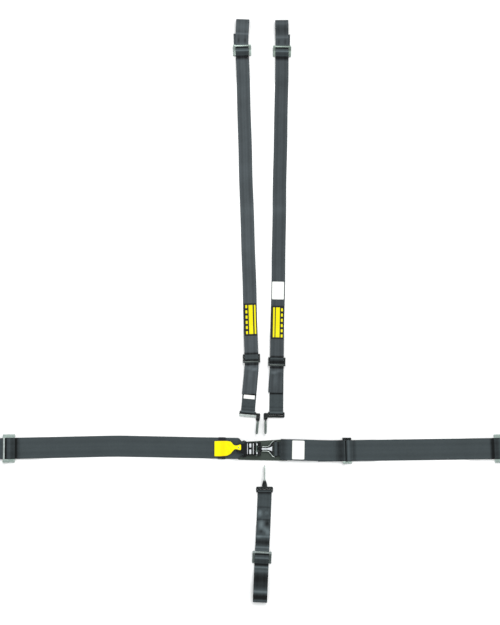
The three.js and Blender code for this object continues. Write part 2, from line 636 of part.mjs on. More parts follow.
function addLeftLap() {
  const lap = place(harness, LEFT_LAP.x, LEFT_LAP.y, LEFT_LAP.turn);
  const radius = LATCH.plate / 2 + GAP + WEB / 2;
  const mid = LATCH.rearBarZ;
  const keeper = 1;
  const low = keeper + GAP + WEB / 2;
  const path = new THREE.Path().moveTo(96, low);
  level(path, 40);
  ramp(path, 14, mid - radius);
  path.lineTo(-FOLD_INSET, mid - radius);
  path.absarc(-FOLD_INSET, mid, radius, 1.5 * Math.PI, 0.5 * Math.PI, true);
  path.lineTo(2, mid + radius);
  ramp(path, 48, low + WEB + GAP);
  level(path, 104);
  ramp(path, 135, FLOOR_LAYER);
  wrapEnd(path, { climbAt: LEFT_LAP.slideAt - 140, end: LEFT_LAP.end, returnEnd: LEFT_LAP.slideAt - 85 });
  const halfBend = 40;
  const bendFrom = LEFT_LAP.bendAt - halfBend;
  const bendTo = LEFT_LAP.bendAt + halfBend;
  const onBelt = (geometry) => bend(geometry, bendFrom, bendTo, LEFT_LAP.bend);
  add(lap, 'left_lap_webbing', onBelt(gather(strap(path, LAP_WIDTH), 18, 0.64)), webbing());

  const halfY = LAP_WIDTH / 2 + GAP;
  const top = low + WEB + GAP + WEB / 2 + GAP;
  const band = roundedRect(-halfY - keeper, halfY + keeper, 0, top + keeper, 1);
  band.holes.push(roundedRect(-halfY, halfY, keeper, top, 0.3, THREE.Path));
  const keeperGeometry = new THREE.ExtrudeGeometry(band, { depth: 26, bevelEnabled: false, curveSegments: 5 });
  keeperGeometry.rotateX(Math.PI / 2).rotateZ(Math.PI / 2).translate(62, 0, 0);
  add(lap, 'lap_fold_keeper', keeperGeometry, darkTape());

  add(lap, 'left_lap_slide', onBelt(endSlide(LAP_SLIDE, LEFT_LAP.slideAt, 1)), silverMetal());
  add(lap, 'left_lap_tail', onBelt(slideTail(LEFT_LAP.slideAt, LAP_WIDTH)), webbing());
}

function addRightLap(lap) {
  const overBars = LAP_ADJUSTER.low + BAR + GAP + WEB / 2;
  const path = new THREE.Path().moveTo(RIGHT_LAP.tail, FLOOR_LAYER);
  level(path, -46);
  ramp(path, -22, overBars);
  level(path, ADJUST_TRAVEL + 20);
  ramp(path, ADJUST_TRAVEL + 62, FLOOR_LAYER);
  wrapEnd(path, { climbAt: RIGHT_LAP.slideAt - 140, end: RIGHT_LAP.end, returnEnd: RIGHT_LAP.slideAt - 85 });
  add(lap, 'right_lap_webbing', strap(path, LAP_WIDTH), webbing());
  add(lap, 'right_lap_slide', endSlide(LAP_SLIDE, RIGHT_LAP.slideAt, 1), silverMetal());
  add(lap, 'right_lap_tail', slideTail(RIGHT_LAP.slideAt, LAP_WIDTH), webbing());
}

// ---------------------------------------------------------------- shoulder belts

// Heights in a shoulder adjuster: the lower webbing wraps the middle bar and the upper webbing passes over it.
const WRAP_TOP = LOW_BAR + BAR + GAP + WEB;
const OVER_WRAP = WRAP_TOP + GAP + WEB / 2;
const SHOULDER_ADJUSTER = [
  [12, OVER_WRAP - WEB / 2 - GAP - BAR],
  [0, LOW_BAR],
  [-12.5, OVER_WRAP + WEB / 2 + GAP],
];

function upperWebbing(belt) {
  const tailZ = 5.2;
  const path = new THREE.Path().moveTo(belt.tailAt, tailZ);
  level(path, -62);
  ramp(path, -26, OVER_WRAP).lineTo(-22, OVER_WRAP);
  level(path, ADJUST_TRAVEL + 22);
  ramp(path, ADJUST_TRAVEL + 75, FLOOR_LAYER);
  wrapEnd(path, { climbAt: belt.slideAt - 140, end: belt.end, returnEnd: belt.slideAt - 85 });
  return strap(path, BELT_WIDTH);
}

// Both layers of the lower webbing, from the adjuster's middle bar round the fitting's rear bar.
function lowerWebbing(length) {
  const adjusterRadius = BAR / 2 + GAP + WEB / 2;
  const adjusterZ = LOW_BAR + BAR / 2;
  const fittingRadius = FITTING.plate / 2 + GAP + WEB / 2;
  const fittingZ = FITTING.bottomZ + FITTING.plate / 2;
  const rearBar = length - 11;
  const path = new THREE.Path().moveTo(60, FLOOR_LAYER);
  level(path, rearBar + FOLD_INSET);
  path.absarc(rearBar + FOLD_INSET, fittingZ, fittingRadius, -0.5 * Math.PI, 0.5 * Math.PI, false);
  path.lineTo(rearBar - 2, fittingZ + fittingRadius);
  ramp(path, rearBar - 16, SECOND_LAYER);
  level(path, 24);
  ramp(path, 6, adjusterZ + adjusterRadius).lineTo(-1.6, adjusterZ + adjusterRadius);
  path.absarc(-1.6, adjusterZ, adjusterRadius, 0.5 * Math.PI, 1.5 * Math.PI, false);
  level(path, 59);
  return strap(path, BELT_WIDTH);
}

function addShoulder(name, belt) {
  const up = place(harness, belt.x, belt.y, belt.turn);
  const loopBend = (geometry) => bend(geometry, belt.slideAt + 26, belt.slideAt + 46, belt.loopLean);
  const tailSlope = Math.tan(THREE.MathUtils.degToRad(belt.tailLean));
  const leanTail = (geometry) => reshape(geometry, (s, n) => [s, n + Math.max(0, -22 - s) * tailSlope]);
  add(up, `${name}_shoulder_webbing`, leanTail(loopBend(upperWebbing(belt))), webbing());
  add(up, `${name}_shoulder_slide`, endSlide(SHOULDER_SLIDE, belt.slideAt, 1), silverMetal());
  const tailShift = belt.side * 6;
  add(up, `${name}_shoulder_tail`, slideTail(belt.slideAt, BELT_WIDTH, tailShift), webbing());
  const frame = { webWidth: BELT_WIDTH, railWidth: 5.4, barDepth: 5.5, bars: SHOULDER_ADJUSTER, endReach: 3.5 };
  add(up, `${name}_shoulder_adjuster`, slideFrame(frame), blackMetal());
  const labelZ = WEB + GAP;
  const onWebbing = (WEB + LABEL) / 2 + GAP;
  const emblemPath = new THREE.Path().moveTo(ADJUST_TRAVEL + 22, OVER_WRAP + onWebbing);
  ramp(emblemPath, ADJUST_TRAVEL + 75, FLOOR_LAYER + onWebbing);
  level(emblemPath, belt.emblemEnd);
  add(up, `${name}_shoulder_emblem`, strap(emblemPath, EMBLEM_WIDTH, 0, LABEL), darkTape());
  if (belt.label) {
    const label = box(belt.label[0], belt.label[1], -22, 22, labelZ, labelZ + LABEL);
    add(up, `${name}_shoulder_label`, label, labelWhite());
  }

  const down = place(harness, belt.x, belt.y, belt.turn + 180);
  const below = (geometry) => bend(geometry, 16, 48, belt.belowLean);
  add(down, `${name}_lower_webbing`, below(lowerWebbing(belt.lowerLength)), webbing());
  const fitting = shoulderFitting(belt.side).translate(belt.lowerLength, 0, 0);
  add(down, `${name}_shoulder_fitting`, below(fitting), satinSteel());
  if (belt.sizeTab) {
    const z = SECOND_LAYER + WEB / 2 + GAP;
    const tab = box(belt.sizeTab[0], belt.sizeTab[1], -20, 20, z, z + LABEL);
    add(down, `${name}_lower_label`, below(tab), labelWhite());
  }
}

// ---------------------------------------------------------------- crotch belt

function crotchWebbing() {
  const c = CROTCH;
  const fittingRadius = FITTING.plate / 2 + GAP + WEB / 2;
  const fittingZ = FITTING.bottomZ + FITTING.plate / 2;
  const path = new THREE.Path().moveTo(105, FLOOR_LAYER);
  level(path, 11 - FOLD_INSET);
  path.absarc(11 - FOLD_INSET, fittingZ, fittingRadius, 1.5 * Math.PI, 0.5 * Math.PI, true);
  path.lineTo(13, fittingZ + fittingRadius);
  ramp(path, 28, SECOND_LAYER);
  level(path, 110);
  ramp(path, 150, RUN_Z);
  level(path, c.slideAt + 26);
  const radius = (c.loopGap + WEB) / 2;
  const middle = FLOOR_LAYER + radius;
  ramp(path, c.end - 50, middle + radius).lineTo(c.end - radius, middle + radius);
  path.absarc(c.end - radius, middle, radius, 0.5 * Math.PI, -0.5 * Math.PI, true);
  level(path, 152);
  return strap(path, BELT_WIDTH);
}

function addCrotch() {
  const belt = place(harness, CROTCH.x, CROTCH.y, CROTCH.turn);
  const lean = (geometry) => bend(geometry, 12, 40, CROTCH.lean);
  add(belt, 'crotch_webbing', lean(crotchWebbing()), webbing());
  add(belt, 'crotch_slide', lean(endSlide(CROTCH_SLIDE, CROTCH.slideAt, -1)), darkZinc());
  add(belt, 'crotch_tail', lean(slideTail(CROTCH.slideAt, BELT_WIDTH)), webbing());
  const fitting = crotchFitting().rotateZ(Math.PI);
  add(belt, 'crotch_fitting', fitting, satinSteel());
}

// ---------------------------------------------------------------- assembly

addLatch();
const rightLap = addLink();
addLeftLap();
addRightLap(rightLap);
addShoulder('left', SHOULDER.left);
addShoulder('right', SHOULDER.right);
addCrotch();

export default harness;
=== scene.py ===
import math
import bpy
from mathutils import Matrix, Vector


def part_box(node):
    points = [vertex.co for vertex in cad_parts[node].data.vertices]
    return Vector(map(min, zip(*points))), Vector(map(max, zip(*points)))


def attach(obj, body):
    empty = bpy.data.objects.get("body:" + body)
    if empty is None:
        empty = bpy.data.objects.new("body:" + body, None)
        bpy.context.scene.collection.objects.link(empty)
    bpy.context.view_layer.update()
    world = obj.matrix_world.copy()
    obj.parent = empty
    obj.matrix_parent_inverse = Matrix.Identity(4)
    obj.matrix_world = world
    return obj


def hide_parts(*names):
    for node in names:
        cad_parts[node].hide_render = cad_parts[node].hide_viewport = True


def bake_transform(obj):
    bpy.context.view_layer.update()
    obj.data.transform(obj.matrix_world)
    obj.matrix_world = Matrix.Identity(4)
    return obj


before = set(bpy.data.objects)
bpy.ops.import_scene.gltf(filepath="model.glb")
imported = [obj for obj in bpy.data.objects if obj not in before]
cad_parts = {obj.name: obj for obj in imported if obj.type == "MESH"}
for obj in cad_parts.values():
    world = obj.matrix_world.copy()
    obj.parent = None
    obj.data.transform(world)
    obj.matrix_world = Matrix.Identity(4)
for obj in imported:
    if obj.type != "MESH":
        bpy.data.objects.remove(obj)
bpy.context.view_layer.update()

# Racing harness: webbing, stitching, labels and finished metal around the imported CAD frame.
# Blender works in metres. Lengths along, across and above a belt are in millimetres, and Belt.point
# converts them.

from types import SimpleNamespace

import bmesh
import bpy
import numpy as np
from mathutils import Vector

MM = 0.001
WEB = 1.4            # webbing thickness
GAP = 0.3            # clearance between neighbouring pieces
LAP_WIDTH = 75.0     # 3 inch lap webbing
BELT_WIDTH = 50.0    # 2 inch shoulder and crotch webbing
BAR = 2.8            # thickness of a slide's bars
FLOOR_LAYER = WEB / 2
SECOND_LAYER = 1.5 * WEB + GAP
RUN_Z = WEB + GAP + BAR + GAP + WEB / 2    # webbing over a slide's low bars
OVER_WRAP = 2 * WEB + 3 * GAP + BAR + WEB / 2   # upper shoulder webbing over the lower webbing's wrap
FOLD_INSET = 2.4     # from a flat bar's middle to the fold round its edge
FITTING_Z = 3.2      # middle height of the end fittings' plates
SLOT_FILL = 2.2      # how much further than the bar the webbing's fold stands into a fitting's slot
ROD_FOLD = 1.5 + GAP + WEB / 2        # middle radius of webbing folded round a 3 mm bar
BAR_FOLD = BAR / 2 + GAP + WEB / 2    # the same round a slide's bar
ON_WEBBING = WEB / 2 + GAP / 2 + 0.2  # a label's middle over the webbing's middle
LEVEL_STEP = 2.5     # length of webbing between stations
ARC_STEP = 15.0      # degrees between stations round a fold

LOOP_GAP = 11.0          # height inside the loop at a lap or shoulder belt's end
CROTCH_LOOP_GAP = 20

# Places along the lap and crotch belts: each slide's middle and the far end of each loop.
LEFT_SLIDE = 838
LEFT_END = 956
RIGHT_SLIDE = 549
RIGHT_END = 667
CROTCH_SLIDE = 240
CROTCH_END = 394

PAD_TOP = 4.0         # top of the buckle pad
TAIL_LENGTH = 44      # free end of the webbing inside a wrap loop
HUMP_THICKNESS = 1.2  # webbing shown over a slide or an adjuster
HUMP_INSET = 0.6      # how much narrower than its webbing
VOXEL = 0.45          # grain of the remeshed pieces
SECOND, THIRD = 1, 2  # places in a piece's list of materials


def add_object(name, data):
    """A new object in the scene."""
    made = bpy.data.objects.new(name, data)
    bpy.context.scene.collection.objects.link(made)
    return made


# ---------- materials

class Shader:
    """A node material, with short ways to add what its colour and bump are made of."""

    def __init__(self, name, **sockets):
        self.material = bpy.data.materials.new(name)
        self.material.use_nodes = True
        self.tree = self.material.node_tree
        self.bsdf = self.tree.nodes["Principled BSDF"]
        for socket, value in sockets.items():
            self.bsdf.inputs[socket.replace("_", " ")].default_value = value

    def node(self, kind, links=(), **settings):
        made = self.tree.nodes.new(kind)
        for key, value in settings.items():
            setattr(made, key, value)
        for socket, source in links:
            if isinstance(source, (int, float, tuple)):
                made.inputs[socket].default_value = source
            else:
                self.tree.links.new(source, made.inputs[socket])
        return made

    def attribute(self, name):
        return self.node("ShaderNodeAttribute", attribute_name=name).outputs["Fac"]

    def math(self, operation, a, b=0.0, c=0.0):
        return self.node("ShaderNodeMath", [(0, a), (1, b), (2, c)], operation=operation).outputs[0]

    def total(self, first, *others):
        for other in others:
            first = self.math("ADD", first, other)
        return first

    def wave(self, source, length):
        return self.math("SINE", self.math("MULTIPLY", source, 2 * math.pi / length))

    def place(self, stretch=(1, 1, 1)):
        coords = self.node("ShaderNodeTexCoord").outputs["Object"]
        return self.node("ShaderNodeMapping", [("Vector", coords), ("Scale", stretch)]).outputs[0]

    def noise(self, scale, detail=3.0, stretch=(1, 1, 1), roughness=0.5):
        links = [("Vector", self.place(stretch)), ("Scale", scale), ("Detail", detail),
                 ("Roughness", roughness)]
        return self.node("ShaderNodeTexNoise", links).outputs["Fac"]

    def mix(self, amount, a, b):
        links = [(0, amount), (6, a), (7, b)]
        return self.node("ShaderNodeMix", links, data_type="RGBA").outputs[2]

    def spread(self, value, low, high, to_low=0.0, to_high=1.0):
        links = [(0, value), (1, low), (2, high), (3, to_low), (4, to_high)]
        return self.node("ShaderNodeMapRange", links).outputs[0]

    def colour(self, source):
        self.tree.links.new(source, self.bsdf.inputs["Base Color"])

    def roughness(self, source):
        self.tree.links.new(source, self.bsdf.inputs["Roughness"])

    def bump(self, height, strength, distance):
        links = [("Height", height), ("Strength", strength), ("Distance", distance)]
        bump = self.node("ShaderNodeBump", links)
        self.tree.links.new(bump.outputs[0], self.bsdf.inputs["Normal"])


def tint(rgb, factor):
    return tuple(min(1.0, c * factor) for c in rgb) + (1.0,)


def webbing_material(name, rgb, contrast=1.0, weave=0.55):
    """Narrow woven polyester: lengthwise panels of slanting twill and soft stripes, with painted shade and
    painted highlights along folds, gaps and slides.
    """
    shader = Shader(name, Roughness=0.62, Sheen_Weight=0.03, Sheen_Roughness=0.45, Specular_IOR_Level=0.1)
    along, across = shader.attribute("along"), shader.attribute("across")
    panel = shader.math("PINGPONG", across, 5.0)
    slant = shader.total(along, shader.math("MULTIPLY", panel, 1.2))
    twill, cords = shader.wave(slant, 1.5), shader.wave(across, 1.1)
    height = shader.total(shader.math("MULTIPLY", twill, 0.55), shader.math("MULTIPLY", cords, 0.45))
    shader.bump(height, weave, 0.00018)
    edge = shader.math("ABSOLUTE", shader.attribute("cross"))
    stripe = shader.math("SINE", shader.math("MULTIPLY", edge, 9.4))
    mottle = shader.noise(9.0, 4.0, roughness=0.6)
    fine = shader.noise(220.0, 2.0)
    light = shader.total(
        shader.math("MULTIPLY", stripe, 0.05 * contrast), 1.0,
        shader.spread(mottle, 0.3, 0.7, -0.07 * contrast, 0.07 * contrast),
        shader.spread(fine, 0.3, 0.7, -0.05, 0.05),
        shader.math("MULTIPLY", height, 0.06),
        # painted shade and painted highlight, from the ribbon's painted shading attribute
        shader.attribute("tone"),
        shader.spread(edge, 0.93, 0.99, 0.0, -0.18))
    shader.colour(shader.mix(shader.spread(light, 0.1, 2.6), tint(rgb, 0.1), tint(rgb, 2.6)))
    shader.roughness(shader.spread(mottle, 0.3, 0.7, 0.55, 0.7))
    return shader.material


def tape_material(name, rgb, rough=0.7):
    """Smooth label or binding tape with a fine crosswise thread."""
    shader = Shader(name, Roughness=rough, Sheen_Weight=0.03, Sheen_Roughness=0.4, Specular_IOR_Level=0.2)
    along, across = shader.attribute("along"), shader.attribute("across")
    height = shader.math("MULTIPLY", shader.wave(along, 0.7), shader.wave(across, 0.7))
    shader.bump(height, 0.3, 0.00008)
    mottle = shader.noise(60.0, 3.0)
    light = shader.total(shader.spread(mottle, 0.3, 0.7, -0.04, 0.04), shader.math("MULTIPLY", height, 0.03))
    shader.colour(shader.mix(shader.spread(light, -0.1, 0.1), tint(rgb, 0.93), tint(rgb, 1.04)))
    return shader.material


def thread_material(name, rgb):
    """Satin embroidery or sewing thread, laid across in fine rows."""
    shader = Shader(name, Roughness=0.5, Sheen_Weight=0.0, Specular_IOR_Level=0.15)
    rows = shader.noise(900.0, 2.0, stretch=(0.3, 1.0, 1.0))
    shader.bump(rows, 0.35, 0.00015)
    shader.colour(shader.mix(shader.spread(rows, 0.3, 0.7), tint(rgb, 0.82), tint(rgb, 1.08)))
    return shader.material


def metal_material(name, rgb, rough, metallic=1.0, coat=0.0, scratch=0.3, gloss=0.5):
    """Plated or painted steel: fine scratches, uneven polish and faint blotches in the finish."""
    shader = Shader(name, Metallic=metallic, Roughness=rough, Coat_Weight=coat, Coat_Roughness=0.08,
                    Specular_IOR_Level=gloss)
    scratches = shader.noise(420.0, 3.0, stretch=(1.0, 0.12, 1.0))
    blotch = shader.noise(75.0, 4.0, roughness=0.6)
    shader.bump(scratches, scratch, 0.00006)
    shader.colour(shader.mix(shader.spread(blotch, 0.3, 0.7), tint(rgb, 0.8), tint(rgb, 1.12)))
    shader.roughness(shader.spread(blotch, 0.25, 0.75, rough * 0.75, min(1.0, rough * 1.35)))
    return shader.material


def plastic_material(name, rgb, patch_rgb):
    """Coated tag stock: fine pebbled grain with a warmer worn patch in the middle of the grip."""
    shader = Shader(name, Roughness=0.5, Specular_IOR_Level=0.12)
    grain = shader.noise(700.0, 2.0)
    shader.bump(grain, 0.35, 0.0001)
    from_middle = shader.total(shader.attribute("along"), 140.0)
    worn = shader.spread(shader.math("ABSOLUTE", from_middle), 4.0, 16.0, 0.55, 0.0)
    blotch = shader.spread(shader.noise(120.0, 3.0), 0.35, 0.65)
    base = shader.mix(blotch, tint(rgb, 0.95), tint(rgb, 1.05))
    shader.colour(shader.mix(worn, base, tint(patch_rgb, 1.0)))
    return shader.material


CHARCOAL = (0.044, 0.055, 0.059)
WEBBING = webbing_material("webbing_charcoal", CHARCOAL)
WEBBING_LIGHT = webbing_material("webbing_left_shoulder", (0.059, 0.07, 0.076), contrast=2.2)
WEBBING_RIGHT = webbing_material("webbing_right_shoulder", (0.048, 0.057, 0.062), contrast=2.2)
# a darker copy of the charcoal webbing: painted shade on the turns over the lap and crotch slides, and on the
# crotch tail
WEBBING_SHADED = webbing_material("webbing_charcoal_shaded", tuple(0.8 * c for c in CHARCOAL), contrast=1.4)
DARK_TAPE = tape_material("black_tape", (0.012, 0.013, 0.016))
PAD_FABRIC = tape_material("pad_fabric", (0.046, 0.059, 0.05), 0.75)
WHITE_LABEL = tape_material("white_label_tape", (0.84, 0.85, 0.82), 0.6)
YELLOW_THREAD = thread_material("yellow_embroidery", (0.8, 0.72, 0.0))
DARK_THREAD = thread_material("dark_thread", (0.02, 0.024, 0.026))
PALE_THREAD = thread_material("pale_thread", (0.6, 0.6, 0.58))
TAG_YELLOW = plastic_material("yellow_tag_stock", (0.86, 0.76, 0.0), (0.9, 0.62, 0.0))
SILVER = metal_material("bright_zinc_plate", (0.34, 0.41, 0.38), 0.26)
GREY_ZINC = metal_material("grey_zinc_plate", (0.25, 0.3, 0.275), 0.26)
DULL_ZINC = metal_material("dull_zinc_plate", (0.17, 0.21, 0.185), 0.3)
# a lighter colour for the right shoulder slide's rounded edges: painted highlight
DULL_ZINC_HIGHLIGHT = metal_material("dull_zinc_painted_highlight", (0.32, 0.37, 0.34), 0.26)
# a lighter zinc colour for rounded edges, the top of the lap slides' high bars and the left fitting rail's
# front edge: painted highlight
SILVER_HIGHLIGHT = metal_material("zinc_painted_highlight", (0.48, 0.53, 0.51), 0.2)
DARK_ZINC = metal_material("dark_zinc_plate", (0.1, 0.12, 0.115), 0.32)
# edge wear with a painted highlight on the rounded edges of the crotch slide and shoulder adjusters, and a
# painted highlight on the top of the crotch slide's high bar
DARK_ZINC_WEAR_AND_HIGHLIGHT = metal_material("dark_zinc_edge_wear_and_highlight", (0.26, 0.3, 0.29), 0.28)
BLACK_PAINT = metal_material("gloss_black_paint", (0.006, 0.007, 0.008), 0.3, metallic=0.0, coat=0.1,
                             gloss=0.12)
# edge wear and a painted highlight on the rounded edges of the black painted latch, lever and lap adjuster
EDGE_WEAR_AND_HIGHLIGHT = metal_material("black_edge_wear_and_highlight", (0.17, 0.19, 0.19), 0.3)
# bright chrome on the tops of the lever's ridges, cross bars and bosses and of the link's rib: painted
# reflections on the gloss black
CHROME_REFLECTION = metal_material("chrome_painted_reflection", (0.8, 0.83, 0.86), 0.12)
# a bright colour for the link's wide rounded edges and its edge beads: painted highlight
LINK_HIGHLIGHT = metal_material("link_painted_highlight", (0.55, 0.61, 0.58), 0.2)
SATIN = metal_material("satin_grey_plate", (0.105, 0.14, 0.125), 0.34)
# a lighter satin colour for the pivot pin's rounded edges and the crotch fitting's prong: painted highlight
SATIN_HIGHLIGHT = metal_material("satin_painted_highlight", (0.4, 0.46, 0.43), 0.28)
BLACK_STEEL = metal_material("blackened_steel", (0.028, 0.031, 0.031), 0.34)
# a lighter steel for the upper part of the shoulder adjusters' high bars: painted highlight
BAR_HIGHLIGHT = metal_material("adjuster_bar_painted_highlight", (0.1, 0.115, 0.11), 0.24)


# ---------- belts and the webbing's runs

class Belt:
    """A belt's own frame on the floor: s along it, n across it to the left, and z up."""

    def __init__(self, x, y, turn, bends=(), warp=None):
        self.x, self.y, self.turn = x, y, math.radians(turn)
        self.bends, self.warp = bends, warp

    def point(self, s, n, z):
        if self.warp:
            n = self.warp(s, n)
        for start, end, degrees in self.bends:
            if s > start and degrees:
                total = math.radians(degrees)
                radius = (end - start) / total
                turn = total * min(1.0, (s - start) / (end - start))
                beyond = max(0.0, s - end)
                along = start + radius * math.sin(turn) + beyond * math.cos(turn) - n * math.sin(turn)
                n = radius * (1 - math.cos(turn)) + beyond * math.sin(turn) + n * math.cos(turn)
                s = along
        cos, sin = math.cos(self.turn), math.sin(self.turn)
        return ((self.x + s * cos - n * sin) * MM, (self.y + s * sin + n * cos) * MM, z * MM)

    def reversed(self, bends=()):
        return Belt(self.x, self.y, math.degrees(self.turn) + 180, bends)

    def local(self, place):
        """The (s, n) of a point in mm, straight along the belt's last stretch."""
        s_end, turn = 0.0, self.turn
        x, y = self.x, self.y
        for _, end, degrees in self.bends:
            x, y, _ = (c / MM for c in self.point(end, 0, 0))
            s_end, turn = end, turn + math.radians(degrees)
        dx, dy = place.x - x, place.y - y
        cos, sin = math.cos(turn), math.sin(turn)
        return s_end + dx * cos + dy * sin, dy * cos - dx * sin


class Run:
    """The middle line of a length of webbing, seen from the side: stations of (s, z)."""

    def __init__(self, s, z):
        self.points = [(s, z)]
        self.top_from, self.top_to = 0, None

    def level(self, s, step=LEVEL_STEP):
        from_s, z = self.points[-1]
        count = max(1, round(abs(s - from_s) / step))
        self.points += [(from_s + (s - from_s) * i / count, z) for i in range(1, count + 1)]
        return self

    def ramp(self, s, z, count=12):
        from_s, from_z = self.points[-1]
        for i in range(1, count + 1):
            t = i / count
            ease = t * t * (3 - 2 * t)
            self.points.append((from_s + (s - from_s) * t, from_z + (z - from_z) * ease))
        return self

    def fold(self, s, z, radius, start, end):
        count = max(6, round(abs(end - start) / ARC_STEP))
        for i in range(count + 1):
            angle = math.radians(start + (end - start) * i / count)
            self.points.append((s + radius * math.cos(angle), z + radius * math.sin(angle)))
        return self

    def top_starts(self):
        self.top_from = len(self.points) - 1
        return self

    def top_ends(self):
        self.top_to = len(self.points)
        return self

    def height(self, s):
        top = sorted(self.points[self.top_from:self.top_to])
        return float(np.interp(s, [p[0] for p in top], [p[1] for p in top]))

    def on_top(self, start, end, rise, step=2.5):
        """A run that lies on this one between two places, rise above its middle line."""
        count = max(2, round(abs(end - start) / step))
        stations = [start + (end - start) * i / count for i in range(count + 1)]
        lying = Run(stations[0], self.height(stations[0]) + rise)
        lying.points += [(s, self.height(s) + rise) for s in stations[1:]]
        return lying

    def length(self):
        return sum(math.dist(a, b) for a, b in zip(self.points, self.points[1:]))


def hill(t):
    """A smooth rise and fall between -1 and 1."""
    return (1 - t * t) ** 2 if abs(t) < 1 else 0.0


def section(thickness, woven):
    """Round a strap's section, from one edge over the top: (share of the half width, height)."""
    half, groove = thickness / 2, 0.16
    shares = (0.975, 0.94, 0.915, 0.89, 0.8, 0.775, 0.75, 0.5, 0.25) if woven else (0.96, 0.7, 0.35)
    upper = [(1.0, 0.0), (0.993, half * 0.6)]
    upper += [(share, half - groove if share in (0.915, 0.775) else half) for share in shares]
    upper += [(0.0, half)] + [(-share, z) for share, z in reversed(upper)]
    lower = [(share, -z) for share, z in reversed(upper[1:-1])]
    return upper + lower


def new_object(name, vertices, faces, materials):
    mesh = bpy.data.meshes.new(name)
    mesh.from_pydata(vertices, [], faces)
    for material in materials:
        mesh.materials.append(material)
    return add_object(name, mesh)


def smooth(piece, degrees=40.0):
    mesh = piece.data
    mesh.polygons.foreach_set("use_smooth", [True] * len(mesh.polygons))
    mesh.set_sharp_from_angle(angle=math.radians(degrees))
    mesh.update()


def ribbon(name, belt, run, width, material, thickness=WEB, woven=True, creases=(), tones=(), patches=(),
           span=None, closed=False, shift=0.0, sway=0.0):
    """Webbing along a run. creases are (s, half length, height, slant); the painted shading bands are (s,
    half length, change), and the painted shading patches are (s, n, half length, half width, change), painted
    shade and highlight in the colour."""
    profile = section(thickness, woven)
    ring = len(profile)
    points = run.points
    top_to = len(points) if run.top_to is None else run.top_to
    vertices, along, across, cross, tone = [], [], [], [], []
    travelled = 0.0
    for i, (s, z) in enumerate(points):
        before = points[i - 1] if i or closed else points[i]
        after = points[(i + 1) % len(points)] if i + 1 < len(points) or closed else points[i]
        ds, dz = after[0] - before[0], after[1] - before[1]
        size = math.hypot(ds, dz) or 1.0
        up_s, up_z = -dz / size, ds / size
        if i:
            travelled += math.dist(points[i - 1], points[i])
        on_top = run.top_from <= i < top_to
        low, high = span(s) if span else (-width / 2, width / 2)
        middle, half = (low + high) / 2 + shift, (high - low) / 2
        middle += sway * math.sin(s / 61.0) * math.sin(s / 143.0)
        for share, up in profile:
            n = middle + share * half
            lift = 0.0
            if on_top:
                lift = sum(h * hill((s + slant * n - at) / reach) for at, reach, h, slant in creases)
            vertices.append(belt.point(s + up_s * up, n, z + up_z * up + lift))
            along.append(travelled if span is None else s)
            across.append(n)
            cross.append(share)
            # painted shade and painted highlight: the colour made darker or lighter in bands along the belt
            # and in patches
            change = sum(d * hill((s - at) / reach) for at, reach, d in tones)
            change += sum(d * hill((s - at) / long) * hill((n - side) / wide)
                          for at, side, long, wide, d in patches)
            tone.append(change if on_top else 0.0)
    faces = []
    count = len(points)
    for i in range(count if closed else count - 1):
        a, b = i * ring, (i + 1) % count * ring
        faces += [(a + k, a + (k + 1) % ring, b + (k + 1) % ring, b + k) for k in range(ring)]
    if not closed:
        faces.append(tuple(reversed(range(ring))))
        faces.append(tuple(range((count - 1) * ring, count * ring)))
    piece = new_object(name, vertices, faces, [material])
    for label, values in (("along", along), ("across", across), ("cross", cross), ("tone", tone)):
        piece.data.attributes.new(label, "FLOAT", "POINT").data.foreach_set("value", values)
    face_out(piece)
    smooth(piece)
    return piece


def face_out(piece):
    mesh = bmesh.new()
    mesh.from_mesh(piece.data)
    bmesh.ops.recalc_face_normals(mesh, faces=mesh.faces)
    mesh.to_mesh(piece.data)
    mesh.free()


def put(piece, body, node=None):
    """The piece rides on a body and may stand in for a CAD node."""
    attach(piece, body)
    if node:
        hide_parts(node)
    return piece


def strap(name, belt, run, width, material, body, node=None, rests_on=(), held="laid", slot="webbing",
          **look):
    """A ribbon of cloth or tape that rides on a body and may replace a CAD node; rests_on is not used."""
    piece = put(ribbon(name, belt, run, width, material, **look), body, node)
    run.length() * MM


# ---------- stitching

STITCH_RINGS = ((0.0, -0.12, 0.0), (0.22, 0.16, 0.3), (0.78, 0.16, 0.3), (1.0, -0.12, 0.0))


def stitch_rows(name, belt, run, rows, body, material=DARK_THREAD, surface=WEB / 2,
                stitch=2.6, gap=1.1):
    """Sewn lines on a run's top surface. Each row is a list of (s, n) corners."""
    vertices, faces = [], []
    for corners in rows:
        for (s0, n0), (s1, n1) in zip(corners, corners[1:]):
            length = math.hypot(s1 - s0, n1 - n0)
            count = max(1, int((length + gap) // (stitch + gap)))
            ds, dn = (s1 - s0) / length, (n1 - n0) / length
            margin = (length - count * stitch - (count - 1) * gap) / 2
            for i in range(count):
                start = margin + i * (stitch + gap)
                base = len(vertices)
                for share, rise, radius in STITCH_RINGS:
                    s, n = s0 + ds * (start + share * stitch), n0 + dn * (start + share * stitch)
                    z = run.height(s) + surface + rise
                    if radius:
                        for side, up in ((1, 0), (0, 1), (-1, 0), (0, -1)):
                            off = side * radius
                            vertices.append(belt.point(s - dn * off, n + ds * off, z + up * 0.22))
                    else:
                        vertices.append(belt.point(s, n, z))
                first, ring_a, ring_b, last = base, base + 1, base + 5, base + 9
                for k in range(4):
                    m = (k + 1) % 4
                    faces.append((first, ring_a + m, ring_a + k))
                    faces.append((ring_a + k, ring_a + m, ring_b + m, ring_b + k))
                    faces.append((ring_b + k, ring_b + m, last))
    piece = new_object(name, vertices, faces, [material])
    face_out(piece)
    smooth(piece, 80)
    return put(piece, body)


def box_row(s0, s1, half):
    """A sewn rectangle between two places along a belt."""
    return [(s0, -half), (s1, -half), (s1, half), (s0, half), (s0, -half)]


def box_stitch(s0, s1, half):
    """A sewn box with its two diagonals."""
    return [box_row(s0, s1, half), [(s0, -half), (s1, half)], [(s0, half), (s1, -half)]]


def cross_rows(places, half):
    return [[(s, -half), (s, half)] for s in places]


# ---------- metal

